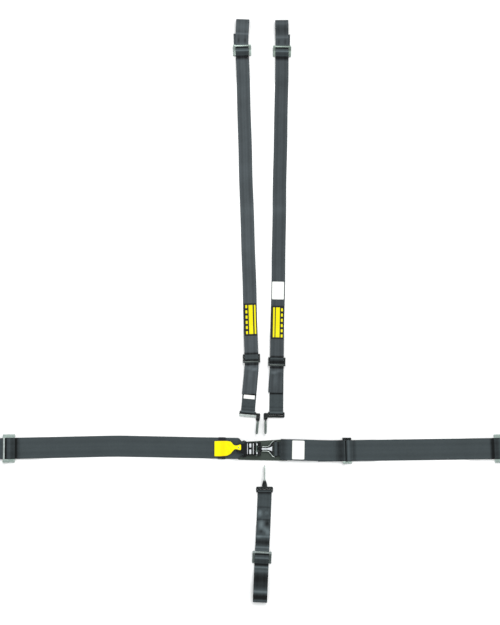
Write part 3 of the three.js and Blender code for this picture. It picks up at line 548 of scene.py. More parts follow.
def bevelled(node, materials, body, width=0.35, segments=2, angle=28.0, paint=None):
    """A copy of a CAD solid, flat faces merged and edges rounded; rounded edges take the second material, a
    lighter colour that paints highlights on the edges.
    """
    mesh = bmesh.new()
    mesh.from_mesh(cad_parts[node].data)
    bmesh.ops.remove_doubles(mesh, verts=mesh.verts, dist=0.01 * MM)
    bmesh.ops.dissolve_limit(mesh, angle_limit=math.radians(1.0), verts=mesh.verts, edges=mesh.edges)
    limit = math.radians(angle)
    edges = [e for e in mesh.edges if len(e.link_faces) == 2 and e.calc_face_angle() > limit]
    if edges:
        bmesh.ops.bevel(mesh, geom=edges, offset=width * MM, offset_type="OFFSET", segments=segments,
                        profile=0.6, affect="EDGES", clamp_overlap=True, material=SECOND)
    if paint:
        for face in mesh.faces:
            slot_index = paint(face.calc_center_median() / MM, face.normal)
            if slot_index is not None:
                face.material_index = slot_index
    data = bpy.data.meshes.new(node + "_finished")
    mesh.to_mesh(data)
    mesh.free()
    for material in materials:
        data.materials.append(material)
    piece = add_object(node + "_finished", data)
    smooth(piece, 50)
    return put(piece, body, node)


def forged(node, materials, body, paint):
    """A copy of a CAD solid remeshed finely and eased, as a pressed and tumbled piece of steel is."""
    piece = add_object(node + "_finished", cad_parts[node].data.copy())
    remesh = piece.modifiers.new("remesh", "REMESH")
    remesh.mode = "VOXEL"
    remesh.voxel_size = VOXEL * MM
    ease = piece.modifiers.new("ease", "SMOOTH")
    ease.factor = 0.5
    ease.iterations = 3
    bpy.context.view_layer.update()
    final = bpy.data.meshes.new_from_object(piece.evaluated_get(bpy.context.evaluated_depsgraph_get()))
    piece.modifiers.clear()
    piece.data = final
    final.materials.clear()
    for material in materials:
        final.materials.append(material)
    slots = [paint(face.center / MM, face.normal) for face in final.polygons]
    final.polygons.foreach_set("material_index", slots)
    smooth(piece, 180)
    return put(piece, body, node)


def wire(name, radius, resolution, lines, material):
    """Round wire along lines of (x, y, z) points in millimetres."""
    curve = bpy.data.curves.new(name, "CURVE")
    curve.dimensions = "3D"
    curve.bevel_depth = radius * MM
    curve.bevel_resolution = resolution
    curve.use_fill_caps = True
    for line in lines:
        spline = curve.splines.new("POLY")
        spline.points.add(len(line) - 1)
        for knot, place in zip(spline.points, line):
            knot.co = (*(c * MM for c in place), 1.0)
        spline.use_smooth = True
    curve.materials.append(material)
    return add_object(name, curve)


# ---------- wrap-around ends

def wrap_end(run, slide_at, end):
    """Up over the slide, round the open loop at the belt's end, and back underneath."""
    climb_at = slide_at - 140
    run.level(climb_at)
    run.ramp(climb_at + 45, RUN_Z)
    run.level(end - 92)
    radius = (LOOP_GAP + WEB) / 2
    middle = FLOOR_LAYER + radius
    run.ramp(end - radius - 18, middle + radius)
    run.level(end - radius)
    run.top_ends()
    run.fold(end - radius, middle, radius, 75, -90)
    run.level(slide_at - 85)


def slide_webbing(name, belt, at, high_side, width, tail_material, material, glint=1.2, shift=0.0):
    """The webbing's free end, hidden inside the wrap, and its turn over the slide's middle bar, between the
    high bar and the frame's far end."""
    start = at + 24
    tail = Run(start, SECOND_LAYER + 0.1).level(start + TAIL_LENGTH)
    strap(f"{name}_tail_end", belt, tail, width, tail_material, f"{name}_end", f"{name}_tail",
          [f"{name}_webbing"], shift=shift)
    on_run = RUN_Z + WEB + 0.25
    run = Run(at + high_side * 11.2, on_run - 0.05)
    run.ramp(at + high_side * 4.0, on_run + 2.3, 12)
    run.ramp(at - high_side * 4.0, on_run + 2.5, 8)
    run.ramp(at - high_side * 17.0, on_run + 1.2, 14)
    run.ramp(at - high_side * 21.5, on_run, 6)
    # painted shadow in the gap by the high bar, a painted highlight line (glint) on the turn's crest, and
    # painted shade down its far slope
    tones = [(at + high_side * 10, 5.5, -0.95), (at - high_side * 2.5, 4.5, glint),
             (at - high_side * 14, 13, -0.4)]
    strap(f"{name}_slide_turn", belt, run, width - HUMP_INSET, material, f"{name}_end", None,
          [f"{name}_slide"], "folded", thickness=HUMP_THICKNESS, tones=tones)


# ---------- lap belts

def gather(s, n):
    """The left lap webbing is drawn together where it meets the latch."""
    open_share = min(1.0, max(0.0, s / 18.0))
    open_share = open_share * open_share * (3 - 2 * open_share)
    return n * (0.64 + 0.36 * open_share)


LEFT_LAP = Belt(-69, 1.5, 178.86, bends=[(415, 495, 2.46)], warp=gather)
RIGHT_LAP = Belt(305.2, -6, 0.8)
INNER_LAP = RIGHT_LAP.reversed(bends=[(30, 80, -2.2)])


def left_lap():
    bar_z = 7.5
    low = 1 + GAP + WEB / 2
    run = Run(96, low)
    run.level(40)
    run.ramp(14, bar_z - ROD_FOLD)
    run.level(-FOLD_INSET)
    run.fold(-FOLD_INSET, bar_z, ROD_FOLD, 255, 90)
    run.level(2)
    run.top_starts()
    run.ramp(48, low + WEB + GAP)
    run.level(104)
    run.ramp(135, FLOOR_LAYER)
    wrap_end(run, LEFT_SLIDE, LEFT_END)
    creases = [(24, 14, 0.7, 0.25), (250, 60, 0.5, 0.4), (430, 90, 0.7, -0.3), (610, 70, 0.5, 0.3)]
    # painted shade by the latch, a painted shadow band under the slide and in the gap by its high bar, and a
    # little painted light on the loop
    tones = [(8, 16, -0.3), (LEFT_SLIDE - 24, 9, -0.9), (LEFT_SLIDE - 30, 16, -0.4),
             (LEFT_SLIDE + 12, 5, -0.95), (LEFT_END - 36, 14, 0.1)]
    strap("left_lap_belt", LEFT_LAP, run, LAP_WIDTH, WEBBING, "latch", "left_lap_webbing", ["latch_base"],
          creases=creases, tones=tones)
    slide_webbing("left_lap", LEFT_LAP, LEFT_SLIDE, 1, LAP_WIDTH, WEBBING, WEBBING_SHADED, glint=0.2)
    stitch_rows("left_lap_fold_stitches", LEFT_LAP, run, cross_rows((54, 58, 91), 33), "latch")

    place = LEFT_LAP.point(75, 0, 0)
    band_belt = Belt(place[0] / MM, place[1] / MM, 178.86 + 90)
    half, low_z, high_z, corner = LAP_WIDTH / 2 + GAP + 0.5, 0.5, 5.2, 1.2
    band = Run(-half + corner, low_z)
    band.level(half - corner, 6)
    band.fold(half - corner, low_z + corner, corner, -75, 0)
    band.fold(half - corner, high_z - corner, corner, 0, 90)
    band.level(-half + corner, 6)
    band.fold(-half + corner, high_z - corner, corner, 105, 180)
    band.fold(-half + corner, low_z + corner, corner, 180, 255)
    strap("lap_fold_band", band_belt, band, 26, DARK_TAPE, "latch", "lap_fold_keeper", ["left_lap_webbing"],
          "stretched", "dark_tape", thickness=0.9, woven=False, closed=True)
    top = Run(-half, high_z).level(half)
    edges = [[(-half + 4, n), (half - 4, n)] for n in (-10.5, 10.5)]
    stitch_rows("lap_fold_band_stitches", band_belt, top, edges, "latch", surface=0.45)


def inner_lap():
    bar, high = 12.5, 8.6
    under = high - BAR_FOLD
    over_loop = PAD_TOP + 2 * (WEB + GAP) + GAP + WEB / 2
    run = Run(bar + 34, under)
    run.level(bar - 1.9)
    run.fold(bar - 1.9, high, BAR_FOLD, 255, 90)
    run.top_starts()
    run.level(bar + 1)
    run.ramp(bar + 22, under + WEB + GAP)
    run.level(bar + 38)
    run.ramp(bar + 50, under)
    run.level(86)
    run.ramp(148, over_loop)
    run.level(216)
    run.ramp(239.5, 12.4)
    # painted shade beside the adjuster and towards the link, with a little painted light between
    tones = [(bar + 10, 28, -0.6), (206, 10, 0.12), (232, 22, -0.5)]
    strap("inner_lap_belt", INNER_LAP, run, LAP_WIDTH, WEBBING, "link", "inner_lap_webbing",
          ["link_loop_webbing", "lap_adjuster"], "folded", creases=[(60, 20, 0.3, 0.2)], tones=tones)
    rows = box_stitch(bar + 25, bar + 37, 31)
    stitch_rows("inner_lap_fold_stitches", INNER_LAP, run, rows, "link")
    stitch_rows("inner_lap_end_stitches", INNER_LAP, run, cross_rows((207, 212), 33), "link")
    label = run.on_top(153.5, 197.3, ON_WEBBING)
    white_label("lap_label_tape", INNER_LAP, label, 67, "link", "lap_label")


def right_lap():
    over_bars = 0.5 + BAR + GAP + WEB / 2
    run = Run(-105, FLOOR_LAYER)
    run.level(-46)
    run.ramp(-22, over_bars)
    run.level(80)
    run.ramp(122, FLOOR_LAYER)
    wrap_end(run, RIGHT_SLIDE, RIGHT_END)
    # painted shadow in the adjuster's gap and beside it, and a painted shadow band under the slide and in the
    # gap by its high bar
    tones = [(-6, 10, -1.2), (24, 12, -0.4), (RIGHT_SLIDE - 27, 14, -1.0), (RIGHT_SLIDE + 12, 5, -0.95)]
    creases = [(190, 40, 0.5, 0.3), (300, 60, 0.5, -0.4)]
    strap("right_lap_belt", RIGHT_LAP, run, LAP_WIDTH, WEBBING, "right_lap", "right_lap_webbing",
          ["lap_adjuster"], creases=creases, tones=tones)
    slide_webbing("right_lap", RIGHT_LAP, RIGHT_SLIDE, 1, LAP_WIDTH, WEBBING, WEBBING_SHADED, glint=0.2)
    turn = Run(-2.5, over_bars + WEB + 0.3)
    turn.ramp(3.0, over_bars + WEB + 3.3, 8)
    turn.ramp(8.0, over_bars + WEB + 3.1, 4)
    turn.ramp(19.5, over_bars + WEB + 0.3, 10)
    # the turn over the adjuster carries a painted highlight on its crest and painted shade down its slope
    strap("lap_adjuster_turn", RIGHT_LAP, turn, LAP_WIDTH - HUMP_INSET, WEBBING, "link", None,
          ["lap_adjuster"], "folded", thickness=HUMP_THICKNESS, tones=[(4, 5, 0.4), (15, 7, -0.3)])


def white_label(name, belt, run, width, body, node, corner=2.5):
    ends = (run.points[0][0], run.points[-1][0])
    low, high = min(ends), max(ends)

    def span(s):
        inside = min(s - low, high - s, corner)
        half = width / 2 - corner + math.sqrt(max(0.04, corner ** 2 - (corner - inside) ** 2))
        return -half, half

    strap(name, belt, run, width, WHITE_LABEL, body, node, slot="white_label", thickness=0.4, woven=False,
          span=span)
    row = box_row(low + 2, high - 2, width / 2 - 2)
    stitch_rows(name + "_stitches", belt, run, [row], body, PALE_THREAD, 0.16, 1.6, 1.4)


# ---------- link webbing and pad

def link_loop():
    bar_z = 9.2
    low = PAD_TOP + GAP + WEB / 2
    start = 49.0
    run = Run(122, low)
    run.level(82)
    run.ramp(start + 2, bar_z - ROD_FOLD)
    run.fold(start - 2.2, bar_z, ROD_FOLD, 270, 90)
    run.level(start + 2)
    run.top_starts()
    run.ramp(76, low + WEB + GAP)
    run.level(122)
    belt = Belt(0, 0, 0)
    # a painted highlight on the wrap over the link's bar and painted shade where the webbing dips behind it
    strap("link_loop_belt", belt, run, BELT_WIDTH, WEBBING, "link", "link_loop_webbing",
          ["link_plate", "buckle_pad"], "folded", tones=[(49, 6, 0.15), (58, 8, -0.85)])


def pad_outline(corner=5.0):
    """The pad's corners, rounded, as points about 2 mm apart."""
    corners = [(-86, -38.4), (92, -42), (92, 34.9), (53, 32.8), (-60, 25.7), (-86, 22)]
    points = []
    for i, here in enumerate(corners):
        here, before, after = Vector(here), Vector(corners[i - 1]), Vector(corners[(i + 1) % len(corners)])
        into, out = (here - before).normalized(), (after - here).normalized()
        start, end = here - into * corner, here + out * corner
        for k in range(7):
            t = k / 6
            points.append(start.lerp(here, t).lerp(here.lerp(end, t), t))
        gap = (after - out * corner) - end
        count = int(gap.length // 4)
        points += [end + gap * (k / (count + 1)) for k in range(1, count + 1)]
    return points


def buckle_pad():
    """A thin stitched pad: a rolled edge, a sewn channel inside it, and a quilted middle."""
    outline = pad_outline()
    middle = sum(outline, Vector((0, 0))) / len(outline)
    levels = [(0.0, 2.0), (0.15, 2.9), (0.6, 3.6), (1.5, 3.95), (3.0, 3.9), (4.2, 3.45), (4.8, 3.2),
              (5.4, 3.45), (6.6, 3.9), (9.0, 4.0), (14.0, 3.95), (20.0, 4.0)]
    count = len(outline)

    def ring(inset, z):
        made = []
        for point in outline:
            inward = middle - point
            share = inset / abs(inward.y) if abs(inward.y) > 18 else inset / inward.length
            made.append((point + inward * min(share, 0.9)) * MM)
        return [(p.x, p.y, z * MM) for p in made]

    upper = [ring(inset, z) for inset, z in levels]
    lower = [ring(inset, max(0.0, 4.0 - z)) for inset, z in levels[1:4]]
    loops = list(reversed(lower)) + upper
    vertices = [v for loop in loops for v in loop]
    faces = []
    for i in range(len(loops) - 1):
        a, b = i * count, (i + 1) * count
        faces += [(a + k, a + (k + 1) % count, b + (k + 1) % count, b + k) for k in range(count)]
    faces.append(tuple(reversed(range(count))))
    faces.append(tuple(range((len(loops) - 1) * count, len(loops) * count)))
    piece = new_object("buckle_pad_cover", vertices, faces, [PAD_FABRIC])
    mesh = piece.data
    for label, axis in (("along", 0), ("across", 1)):
        values = [v.co[axis] / MM for v in mesh.vertices]
        mesh.attributes.new(label, "FLOAT", "POINT").data.foreach_set("value", values)
    face_out(piece)
    smooth(piece, 60)
    put(piece, "link", "buckle_pad")


# ---------- shoulder belts

# Each shoulder belt: where its frame stands, places along it, leans in degrees, and its painted shade and
# painted highlights.
SHOULDERS = {
    "left": SimpleNamespace(
        place=(-37.4, 326, 91.72), slide_at=1177.5, end=1300, length=206, tail_at=-128,
        loop_lean=-4.3, below_lean=-6.7, tail_lean=6.9, tail_shift=6.0,
        emblem_end=203, bands=[(-9.4, 5.4), (-20.2, -14.4)], dashes=(10.2, 17.0),
        look=WEBBING_LIGHT, rail_highlight_slot=THIRD, turn_end=-3.5, turn_tones=[(8, 7, -0.15)],
        tones=[(-21, 8, -0.9), (-7, 7, -1.0), (17, 7, -0.9), (550, 40, 0.2), (1150.5, 15, -1.0),
               (1189.5, 5, -0.95), (1201, 4, 0.3), (1242, 6, 0.7), (1268, 26, 0.3)],
        patches=[(-36, 8, 10, 14, 0.5), (-40, -12, 9, 16, 1.0), (-66, 3, 34, 9, 0.35),
                 (1216, 12, 14, 7, -0.5), (1216, -10, 14, 7, -0.5)],
        creases=[(-36, 14, 1.8, 0.15), (250, 40, 0.6, 0.3), (560, 60, 1.2, 0.6), (820, 90, 0.8, -0.5)],
    ),
    "right": SimpleNamespace(
        place=(54.3, 314, 88.82), slide_at=1185.5, end=1308.5, length=196, tail_at=-112,
        loop_lean=2.0, below_lean=0.4, tail_lean=2.4, tail_shift=-4.5,
        emblem_end=206, bands=[(-8.0, 6.6), (10.2, 16.4)], dashes=(-19.0, -12.4),
        look=WEBBING_RIGHT, rail_highlight_slot=SECOND, turn_end=4.0, turn_tones=[(5, 6, -0.5)],
        tones=[(-21, 8, -0.9), (-2, 10, -1.1), (17, 7, -0.9), (570, 30, 0.2), (1158.5, 15, -1.0),
               (1197.5, 5, -0.95), (1208, 4, 0.25), (1241, 6, 0.8), (1268, 28, -0.45), (1294, 9, 0.3)],
        patches=[(-34, -8, 8, 14, 0.5), (-40, 10, 9, 17, 1.1), (-66, 3, 34, 9, 0.35),
                 (1222, 12, 14, 7, -0.4), (1222, -10, 14, 7, -0.4)],
        creases=[(-38, 14, 1.8, -0.15), (400, 60, 0.6, 0.3), (600, 60, 1.0, -0.5), (860, 90, 0.8, 0.5)],
    ),
}


def lower_belt(spec):
    """The lower webbing's belt, from the adjuster down to the fitting."""
    return Belt(*spec.place).reversed(bends=[(16, 48, spec.below_lean)])


def shoulder(name):
    """One shoulder belt, its lower webbing and emblem; gives back what labels are laid on."""
    spec = SHOULDERS[name]
    slide_at, tail_at, turn_end = spec.slide_at, spec.tail_at, spec.turn_end
    loop_bend = [(slide_at + 26, slide_at + 46, spec.loop_lean)]
    tail_slope = math.tan(math.radians(spec.tail_lean))
    up = Belt(*spec.place, bends=loop_bend, warp=lambda s, n: n + max(0.0, -22 - s) * tail_slope)
    frame_belt = Belt(*spec.place)
    down = lower_belt(spec)
    lower_body, upper_body = f"{name}_shoulder_lower", f"{name}_shoulder"

    run = Run(tail_at, 5.2)
    run.level(-62)
    run.ramp(-26, OVER_WRAP)
    run.level(82)
    run.ramp(135, FLOOR_LAYER)
    wrap_end(run, slide_at, spec.end)
    strap(f"{name}_shoulder_belt", up, run, BELT_WIDTH, spec.look, upper_body, f"{name}_shoulder_webbing",
          [f"{name}_lower_webbing"], creases=spec.creases, tones=spec.tones, patches=spec.patches, sway=0.8)
    stitch_rows(f"{name}_shoulder_tail_hem", up, run, cross_rows((tail_at + 4, tail_at + 9), 22), upper_body)
    # the turn over the slide takes the darker charcoal webbing instead of the belt's own: painted shade
    slide_webbing(upper_body, frame_belt, slide_at, 1, BELT_WIDTH, spec.look, WEBBING, shift=spec.tail_shift)

    # painted shade on the turn over the adjuster
    turn_run = Run(13.5, OVER_WRAP + WEB + 0.1)
    turn_run.ramp(turn_end + 8, OVER_WRAP + WEB + 1.9, 8)
    turn_run.ramp(turn_end + 5, OVER_WRAP + WEB + 2.0, 4)
    turn_run.ramp(turn_end, OVER_WRAP + WEB + 0.2, 8)
    strap(f"{name}_adjuster_turn", frame_belt, turn_run, BELT_WIDTH - HUMP_INSET, WEBBING, lower_body, None,
          [f"{name}_shoulder_adjuster"], "folded", thickness=HUMP_THICKNESS, tones=spec.turn_tones)

    emblem(name, up, run, spec.emblem_end, spec.bands, spec.dashes, upper_body)

    bar_z = WEB + GAP + BAR / 2
    rear_bar = spec.length - 11
    low = Run(60, FLOOR_LAYER)
    fold_at = rear_bar + FOLD_INSET + SLOT_FILL
    low.level(fold_at)
    low.top_starts()
    low.fold(fold_at, FITTING_Z, ROD_FOLD, -75, 90)
    low.level(rear_bar - 2)
    low.ramp(rear_bar - 16, SECOND_LAYER)
    low.level(24)
    low.ramp(6, bar_z + BAR_FOLD)
    low.top_ends()
    low.level(-1.6)
    low.fold(-1.6, bar_z, BAR_FOLD, 105, 270)
    low.level(59)
    # painted shade where the webbing enters the fitting's slot and beside its fold, a painted highlight on
    # the fold, and a painted shadow under the upper webbing's tail end
    lower_tones = [(rear_bar + 6, 7, -0.9), (rear_bar - 1, 3.5, 0.6), (rear_bar - 8, 5, -0.3),
                   (rear_bar - 20, 5, -0.2), (3 - tail_at, 6, -0.95)]
    strap(f"{name}_lower_belt", down, low, BELT_WIDTH, WEBBING, lower_body, f"{name}_lower_webbing",
          [f"{name}_shoulder_fitting"], "folded", tones=lower_tones)
    fold_rows = box_stitch(rear_bar - 46, rear_bar - 18, 20)
    stitch_rows(f"{name}_lower_fold_stitches", down, low, fold_rows, lower_body)
    return up, run, down, low


def emblem(name, belt, webbing_run, end, bands, dashes, body):
    """A black patch with two plain yellow bands and a row of even dashes, sewn on the shoulder belt."""
    width, begin = 46.0, 83
    run = webbing_run.on_top(begin, end, WEB / 2 + GAP / 2 + 0.25, 2.0)
    strap(f"{name}_emblem_patch", belt, run, width, DARK_TAPE, body, f"{name}_shoulder_emblem",
          [f"{name}_shoulder_webbing"], slot="dark_tape", thickness=0.5, woven=False)
    inset, raised = 6.0, 0.3
    start, stop = begin + inset, end - inset
    strips = [(start, stop, low, high) for low, high in bands]
    dash, pitch = 11.0, 19.4
    place = start
    while place + dash <= stop + 0.5:
        strips.append((place, place + dash, *dashes))
        place += pitch
    for i, (s0, s1, low, high) in enumerate(strips):
        middle, half = (low + high) / 2, (high - low) / 2
        lying = webbing_run.on_top(s0, s1, WEB / 2 + GAP / 2 + 0.5 + raised / 2, 2.0)
        strip = ribbon(f"{name}_emblem_band_{i + 1}", belt, lying, 2 * half, YELLOW_THREAD, thickness=raised,
                       woven=False, shift=middle)
        put(strip, body)
    row = box_row(begin + 1.5, end - 1.5, width / 2 - 1.2)
    stitch_rows(f"{name}_emblem_stitches", belt, run, [row], body, surface=0.25, stitch=2.0)


def left_shoulder():
    _, _, down, lower_run = shoulder("left")
    tab = lower_run.on_top(133, 147, ON_WEBBING)
    white_label("left_size_tab", down, tab, 40, "left_shoulder_lower", "left_lower_label", corner=1.0)
    ticks = [[(130.6, n), (134.2, n)] for n in range(-18, 19, 3)]
    stitch_rows("left_size_tab_ticks", down, lower_run, ticks, "left_shoulder_lower", surface=WEB / 2 + 0.5,
                stitch=3.0)


def right_shoulder():
    up, upper_run, _, _ = shoulder("right")
    label = upper_run.on_top(230, 296, ON_WEBBING)
    white_label("right_shoulder_label_tape", up, label, 44, "right_shoulder", "right_shoulder_label")


# ---------- crotch belt

CROTCH = Belt(9, -139.5, -90, bends=[(12, 40, -2.7)])


def crotch():
    run = Run(105, FLOOR_LAYER)
    fold_at = 11 - FOLD_INSET - SLOT_FILL
    run.level(fold_at)
    run.top_starts()
    run.fold(fold_at, FITTING_Z, ROD_FOLD, 255, 90)
    run.level(13, 1.0)
    run.ramp(28, SECOND_LAYER)
    run.level(110)
    run.ramp(150, RUN_Z)
    run.level(CROTCH_SLIDE + 26)
    radius = (CROTCH_LOOP_GAP + WEB) / 2
    middle = FLOOR_LAYER + radius
    run.ramp(CROTCH_END - 50, middle + radius, 18)
    run.level(CROTCH_END - radius)
    run.top_ends()
    run.fold(CROTCH_END - radius, middle, radius, 80, -90)
    run.level(152)
    # painted shade in the fitting's slot, under the slide and round the loop's far end, painted highlight
    # lines on the folds, and patches of painted highlight and shade along the belt
    tones = [(6, 14, -0.95), (9.4, 2.6, 1.4), (17, 7, -0.5), (66, 5, -0.4), (110, 5, -0.6), (168, 5, 1.1),
             (188, 17, -0.75), (206, 4.5, 1.2), (216, 4, 0.7), (228, 5, -0.95), (264, 10, -1.1),
             (274, 4, 1.3), (288, 7, 0.6), (314, 40, -0.9), (340, 14, -0.3), (357, 6, 1.2), (376, 18, -1.0)]
    patches = [(88, -14, 17, 11, 2.0), (86, 10, 10, 8, 0.7), (128, -8, 24, 13, 1.7), (122, 14, 14, 13, -0.8),
               (142, 6, 14, 11, 1.1), (152, 16, 18, 10, 1.6), (150, -6, 10, 9, -0.7), (170, -14, 8, 12, 0.9)]
    strap("crotch_belt", CROTCH, run, BELT_WIDTH, WEBBING, "crotch", "crotch_webbing", ["crotch_fitting"],
          "folded", creases=[(128, 14, 0.8, 0.35)], tones=tones, patches=patches, sway=0.4)
    slide_webbing("crotch", CROTCH, CROTCH_SLIDE, -1, BELT_WIDTH, WEBBING_SHADED, WEBBING_SHADED)
    rows = box_stitch(66, 97, 20) + cross_rows((34, 38), 21)
    stitch_rows("crotch_fold_stitches", CROTCH, run, rows, "crotch")


# ---------- release tag and spring

def curve_through(points, x):
    """A smooth value at x through a few (x, value) points."""
    xs, ys = [p[0] for p in points], [p[1] for p in points]
    i = min(max(int(np.searchsorted(xs, x)) - 1, 0), len(xs) - 2)
    slopes = np.gradient(ys, xs)
    h = xs[i + 1] - xs[i]
    t = (x - xs[i]) / h
    t2, t3 = t * t, t * t * t
    return ((2 * t3 - 3 * t2 + 1) * ys[i] + (t3 - 2 * t2 + t) * h * slopes[i] + (3 * t2 - 2 * t3) * ys[i + 1]
            + (t3 - t2) * h * slopes[i + 1])


TAG_LOW = [(-170, -26), (-140, -25.3), (-122, -22.5), (-112, -16.5), (-104, -7.5), (-98, -2.2), (-91, -1.4),
           (-84, -3.4), (-79, -4.4), (-76, -3.4), (-75, -1.0)]
TAG_HIGH = [(-170, 27.5), (-140, 28.3), (-120, 27.2), (-110, 24.0), (-104, 16.5), (-98, 12.4), (-91, 11.8),
            (-84, 13.4), (-79, 14.9), (-76, 14.0), (-75, 11.0)]


def release_tag():
    def span(s):
        low, high = curve_through(TAG_LOW, s), curve_through(TAG_HIGH, s)
        corner = 1.2
        inside = min(corner, s + 170.0)
        trim = corner - math.sqrt(max(0.0, corner ** 2 - (corner - inside) ** 2))
        return low + trim, high - trim

    top, low = 18.05, 7.6
    stations = [-75 - 0.25 * k for k in range(4)] + [-76 - 1.5 * k for k in range(62)] + [-169, -169.6, -170]

    def height(s):
        drop = min(1.0, max(0.0, (-99 - s) / 33))
        curl = 0.9 * math.sin((s + 132) / 12.0) * min(1.0, max(0.0, (-120 - s) / 20))
        return top + (low - top) * drop * drop * (3 - 2 * drop) + curl

    run = Run(stations[0], height(stations[0]))
    run.points += [(s, height(s)) for s in stations[1:]]
    belt = Belt(0, 0, 0)
    piece = ribbon("release_tag_sheet", belt, run, 54, TAG_YELLOW, thickness=1.5, woven=False, span=span)
    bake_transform(piece)
    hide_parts("release_tag_anchor", "release_tag")


def lever_spring():
    turns, thick, coil, per_turn = 3, 1.2, 4.4, 24
    low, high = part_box("lever_spring")
    count = turns * per_turn
    first, last = low.y / MM + thick / 2, high.y / MM - thick / 2
    line = []
    for i in range(count + 1):
        angle = 2 * math.pi * i / per_turn
        y = first + (last - first) * i / count
        line.append((-20 + coil * math.cos(angle), y, 16 + coil * math.sin(angle)))
    piece = wire("lever_spring_coil", thick / 2, 3, [line], SILVER)
    put(piece, "latch", "lever_spring")


# ---------- metal pieces

def lever_reflection_paint(place, normal):
    """Chrome on the tops of the lever's ridges, cross bars and pivot bosses: painted reflections on the gloss
    black.
    """
    ridges = -46 < place.x < -38 and place.z > 21.7
    cross_bars = place.z > 21.7 and (-53.2 < place.x < -50.8 or -32.6 < place.x < -30.0)
    bosses = -25 < place.x < -15 and place.z > 18.5 and abs(place.y) > 12
    return THIRD if ridges or cross_bars or bosses else None


def link_reflection_paint(place, normal):
    """Chrome on the top of the link's rib: a painted reflection on the gloss black."""
    return THIRD if -2.5 < place.x < 37 and place.z > 10.9 else None


def slide_highlight_paint(belt, at, high_side):
    """The top faces of a slide's high bar take the lighter second colour: a painted highlight."""
    def paint(place, normal):
        s, n = belt.local(place)
        on_bar = 12 < (s - at) * high_side < 22 and abs(n) < 38
        return SECOND if on_bar and normal.z > 0.2 else None
    return paint


def adjuster_highlight_paint(belt, half):
    """The upper part of the adjuster's high bar takes the lighter bar colour: a painted highlight."""
    def paint(place, normal):
        s, n = belt.local(place)
        return THIRD if s < -9 and abs(n) < half and place.z > 6 else None
    return paint


def fitting_paint(belt, length, highlight_slot):
    """A dark arm between the rail and the grey prong; the rail's front edge takes the highlight slot, a
    painted highlight where that slot holds a bright colour.
    """
    def paint(place, normal):
        s, n = belt.local(place)
        if abs(n) < 31 and length - 2.6 < s < length + 8:
            return highlight_slot
        return SECOND if s < length + 20 else 0
    return paint


def link_edge_highlights():
    """Rolled edges where the link flares from its tongue to its webbing bar, in a bright colour that paints
    their highlights.
    """
    flare = [Vector((16, 8.75)), Vector((30, 8.75)), Vector((32, 27)), Vector((44, 30))]
    points = [Vector((x, 8.75)) for x in (0, 4, 8, 12)]
    for i in range(17):
        u = i / 16
        a, b, c = (flare[k].lerp(flare[k + 1], u) for k in range(3))
        points.append(a.lerp(b, u).lerp(b.lerp(c, u), u))
    lines = [[(p.x, side * (p.y - 1.1), 10.4) for p in points] for side in (-1, 1)]
    put(wire("link_edge_highlight_beads", 1.15, 2, lines, LINK_HIGHLIGHT), "link")


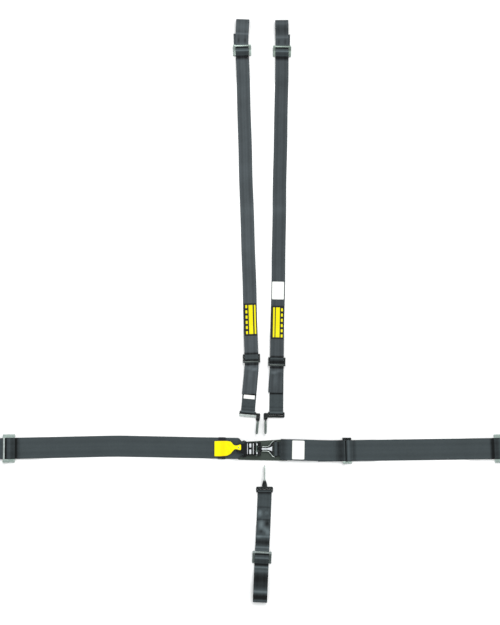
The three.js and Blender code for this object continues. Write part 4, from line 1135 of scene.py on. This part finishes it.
def metalwork():
    bevelled("latch_base", [BLACK_PAINT, EDGE_WEAR_AND_HIGHLIGHT], "latch")
    bevelled("lever_pivot_pin", [SATIN, SATIN_HIGHLIGHT], "latch", width=0.3)
    bevelled("latch_lever", [BLACK_PAINT, EDGE_WEAR_AND_HIGHLIGHT, CHROME_REFLECTION], "lever", paint=lever_reflection_paint)
    bevelled("tag_rivet", [SILVER, SILVER_HIGHLIGHT], "lever", width=0.2)
    bevelled("link_plate", [BLACK_PAINT, LINK_HIGHLIGHT, CHROME_REFLECTION], "link", width=1.1,
             paint=link_reflection_paint)
    link_edge_highlights()
    # the top faces of the adjuster's lower end, below y -44.5, take the silver colour: a painted reflection
    # on the black frame
    bevelled("lap_adjuster", [BLACK_PAINT, EDGE_WEAR_AND_HIGHLIGHT, SILVER], "link",
             paint=lambda place, normal: THIRD if place.y < -44.5 and normal.z > 0.2 else None)
    for name, belt, at in (("left_lap", LEFT_LAP, LEFT_SLIDE), ("right_lap", RIGHT_LAP, RIGHT_SLIDE)):
        bevelled(f"{name}_slide", [SILVER, SILVER_HIGHLIGHT], f"{name}_end", width=0.5, segments=3,
                 paint=slide_highlight_paint(belt, at, 1))
    for name, look in (("left", [GREY_ZINC, SILVER_HIGHLIGHT]), ("right", [DULL_ZINC, DULL_ZINC_HIGHLIGHT])):
        bevelled(f"{name}_shoulder_slide", look, f"{name}_shoulder_end", width=0.5,
                 segments=3)
    bevelled("crotch_slide", [DARK_ZINC, DARK_ZINC_WEAR_AND_HIGHLIGHT], "crotch_end", width=0.5, segments=3,
             paint=slide_highlight_paint(CROTCH, CROTCH_SLIDE, -1))
    for name, spec in SHOULDERS.items():
        body = f"{name}_shoulder_lower"
        bevelled(f"{name}_shoulder_adjuster", [BLACK_STEEL, DARK_ZINC_WEAR_AND_HIGHLIGHT, BAR_HIGHLIGHT], body,
                 paint=adjuster_highlight_paint(Belt(*spec.place), 26))
        forged(f"{name}_shoulder_fitting", [SATIN, BLACK_STEEL, SILVER_HIGHLIGHT], body,
               paint=fitting_paint(lower_belt(spec), spec.length, spec.rail_highlight_slot))
    # above y -112 the crotch fitting's prong takes the lighter satin colour, a painted highlight; below it
    # the bar and the twisted neck are blackened steel
    forged("crotch_fitting", [SATIN_HIGHLIGHT, BLACK_STEEL], "crotch",
           paint=lambda place, normal: SECOND if place.y < -112 else 0)


# ---------- the whole harness

left_lap()
inner_lap()
right_lap()
link_loop()
buckle_pad()
left_shoulder()
right_shoulder()
crotch()
release_tag()
lever_spring()
metalwork()


# ---------- floor, light and camera

def studio():
    floor_shader = Shader("studio_floor", Roughness=0.9)
    floor_shader.bsdf.inputs["Base Color"].default_value = (0.93, 0.93, 0.93, 1.0)
    half, drop = 30.0, -0.0002
    corners = [(x * half, y * half, drop) for x, y in ((-1, -1), (1, -1), (1, 1), (-1, 1))]
    floor = new_object("floor", corners, [(0, 1, 2, 3)], [floor_shader.material])
    world = bpy.data.worlds.new("studio")
    world.use_nodes = True
    world.node_tree.nodes["Background"].inputs["Color"].default_value = (0.98, 1.0, 1.0, 1.0)
    world.node_tree.nodes["Background"].inputs["Strength"].default_value = 1.0
    bpy.context.scene.world = world
    data = bpy.data.lights.new("key", "SUN")
    data.energy = 1.4
    data.angle = math.radians(40)
    key = add_object("key", data)
    key.rotation_euler = (-Vector((0.35, 0.85, 1.1))).to_track_quat("-Z", "Y").to_euler()


def camera():
    tilt, distance = math.radians(9.0), 4.0
    target = Vector((-0.043, 0.4956, 0.0))
    data = bpy.data.cameras.new("camera")
    data.lens = 63.0
    data.sensor_width = 36.0
    holder = add_object("camera", data)
    holder.location = target + distance * Vector((0.0, -math.sin(tilt), math.cos(tilt)))
    holder.rotation_euler = (target - holder.location).to_track_quat("-Z", "Y").to_euler()
    bpy.context.scene.camera = holder


studio()
camera()
bpy.context.scene.view_settings.view_transform = "Standard"
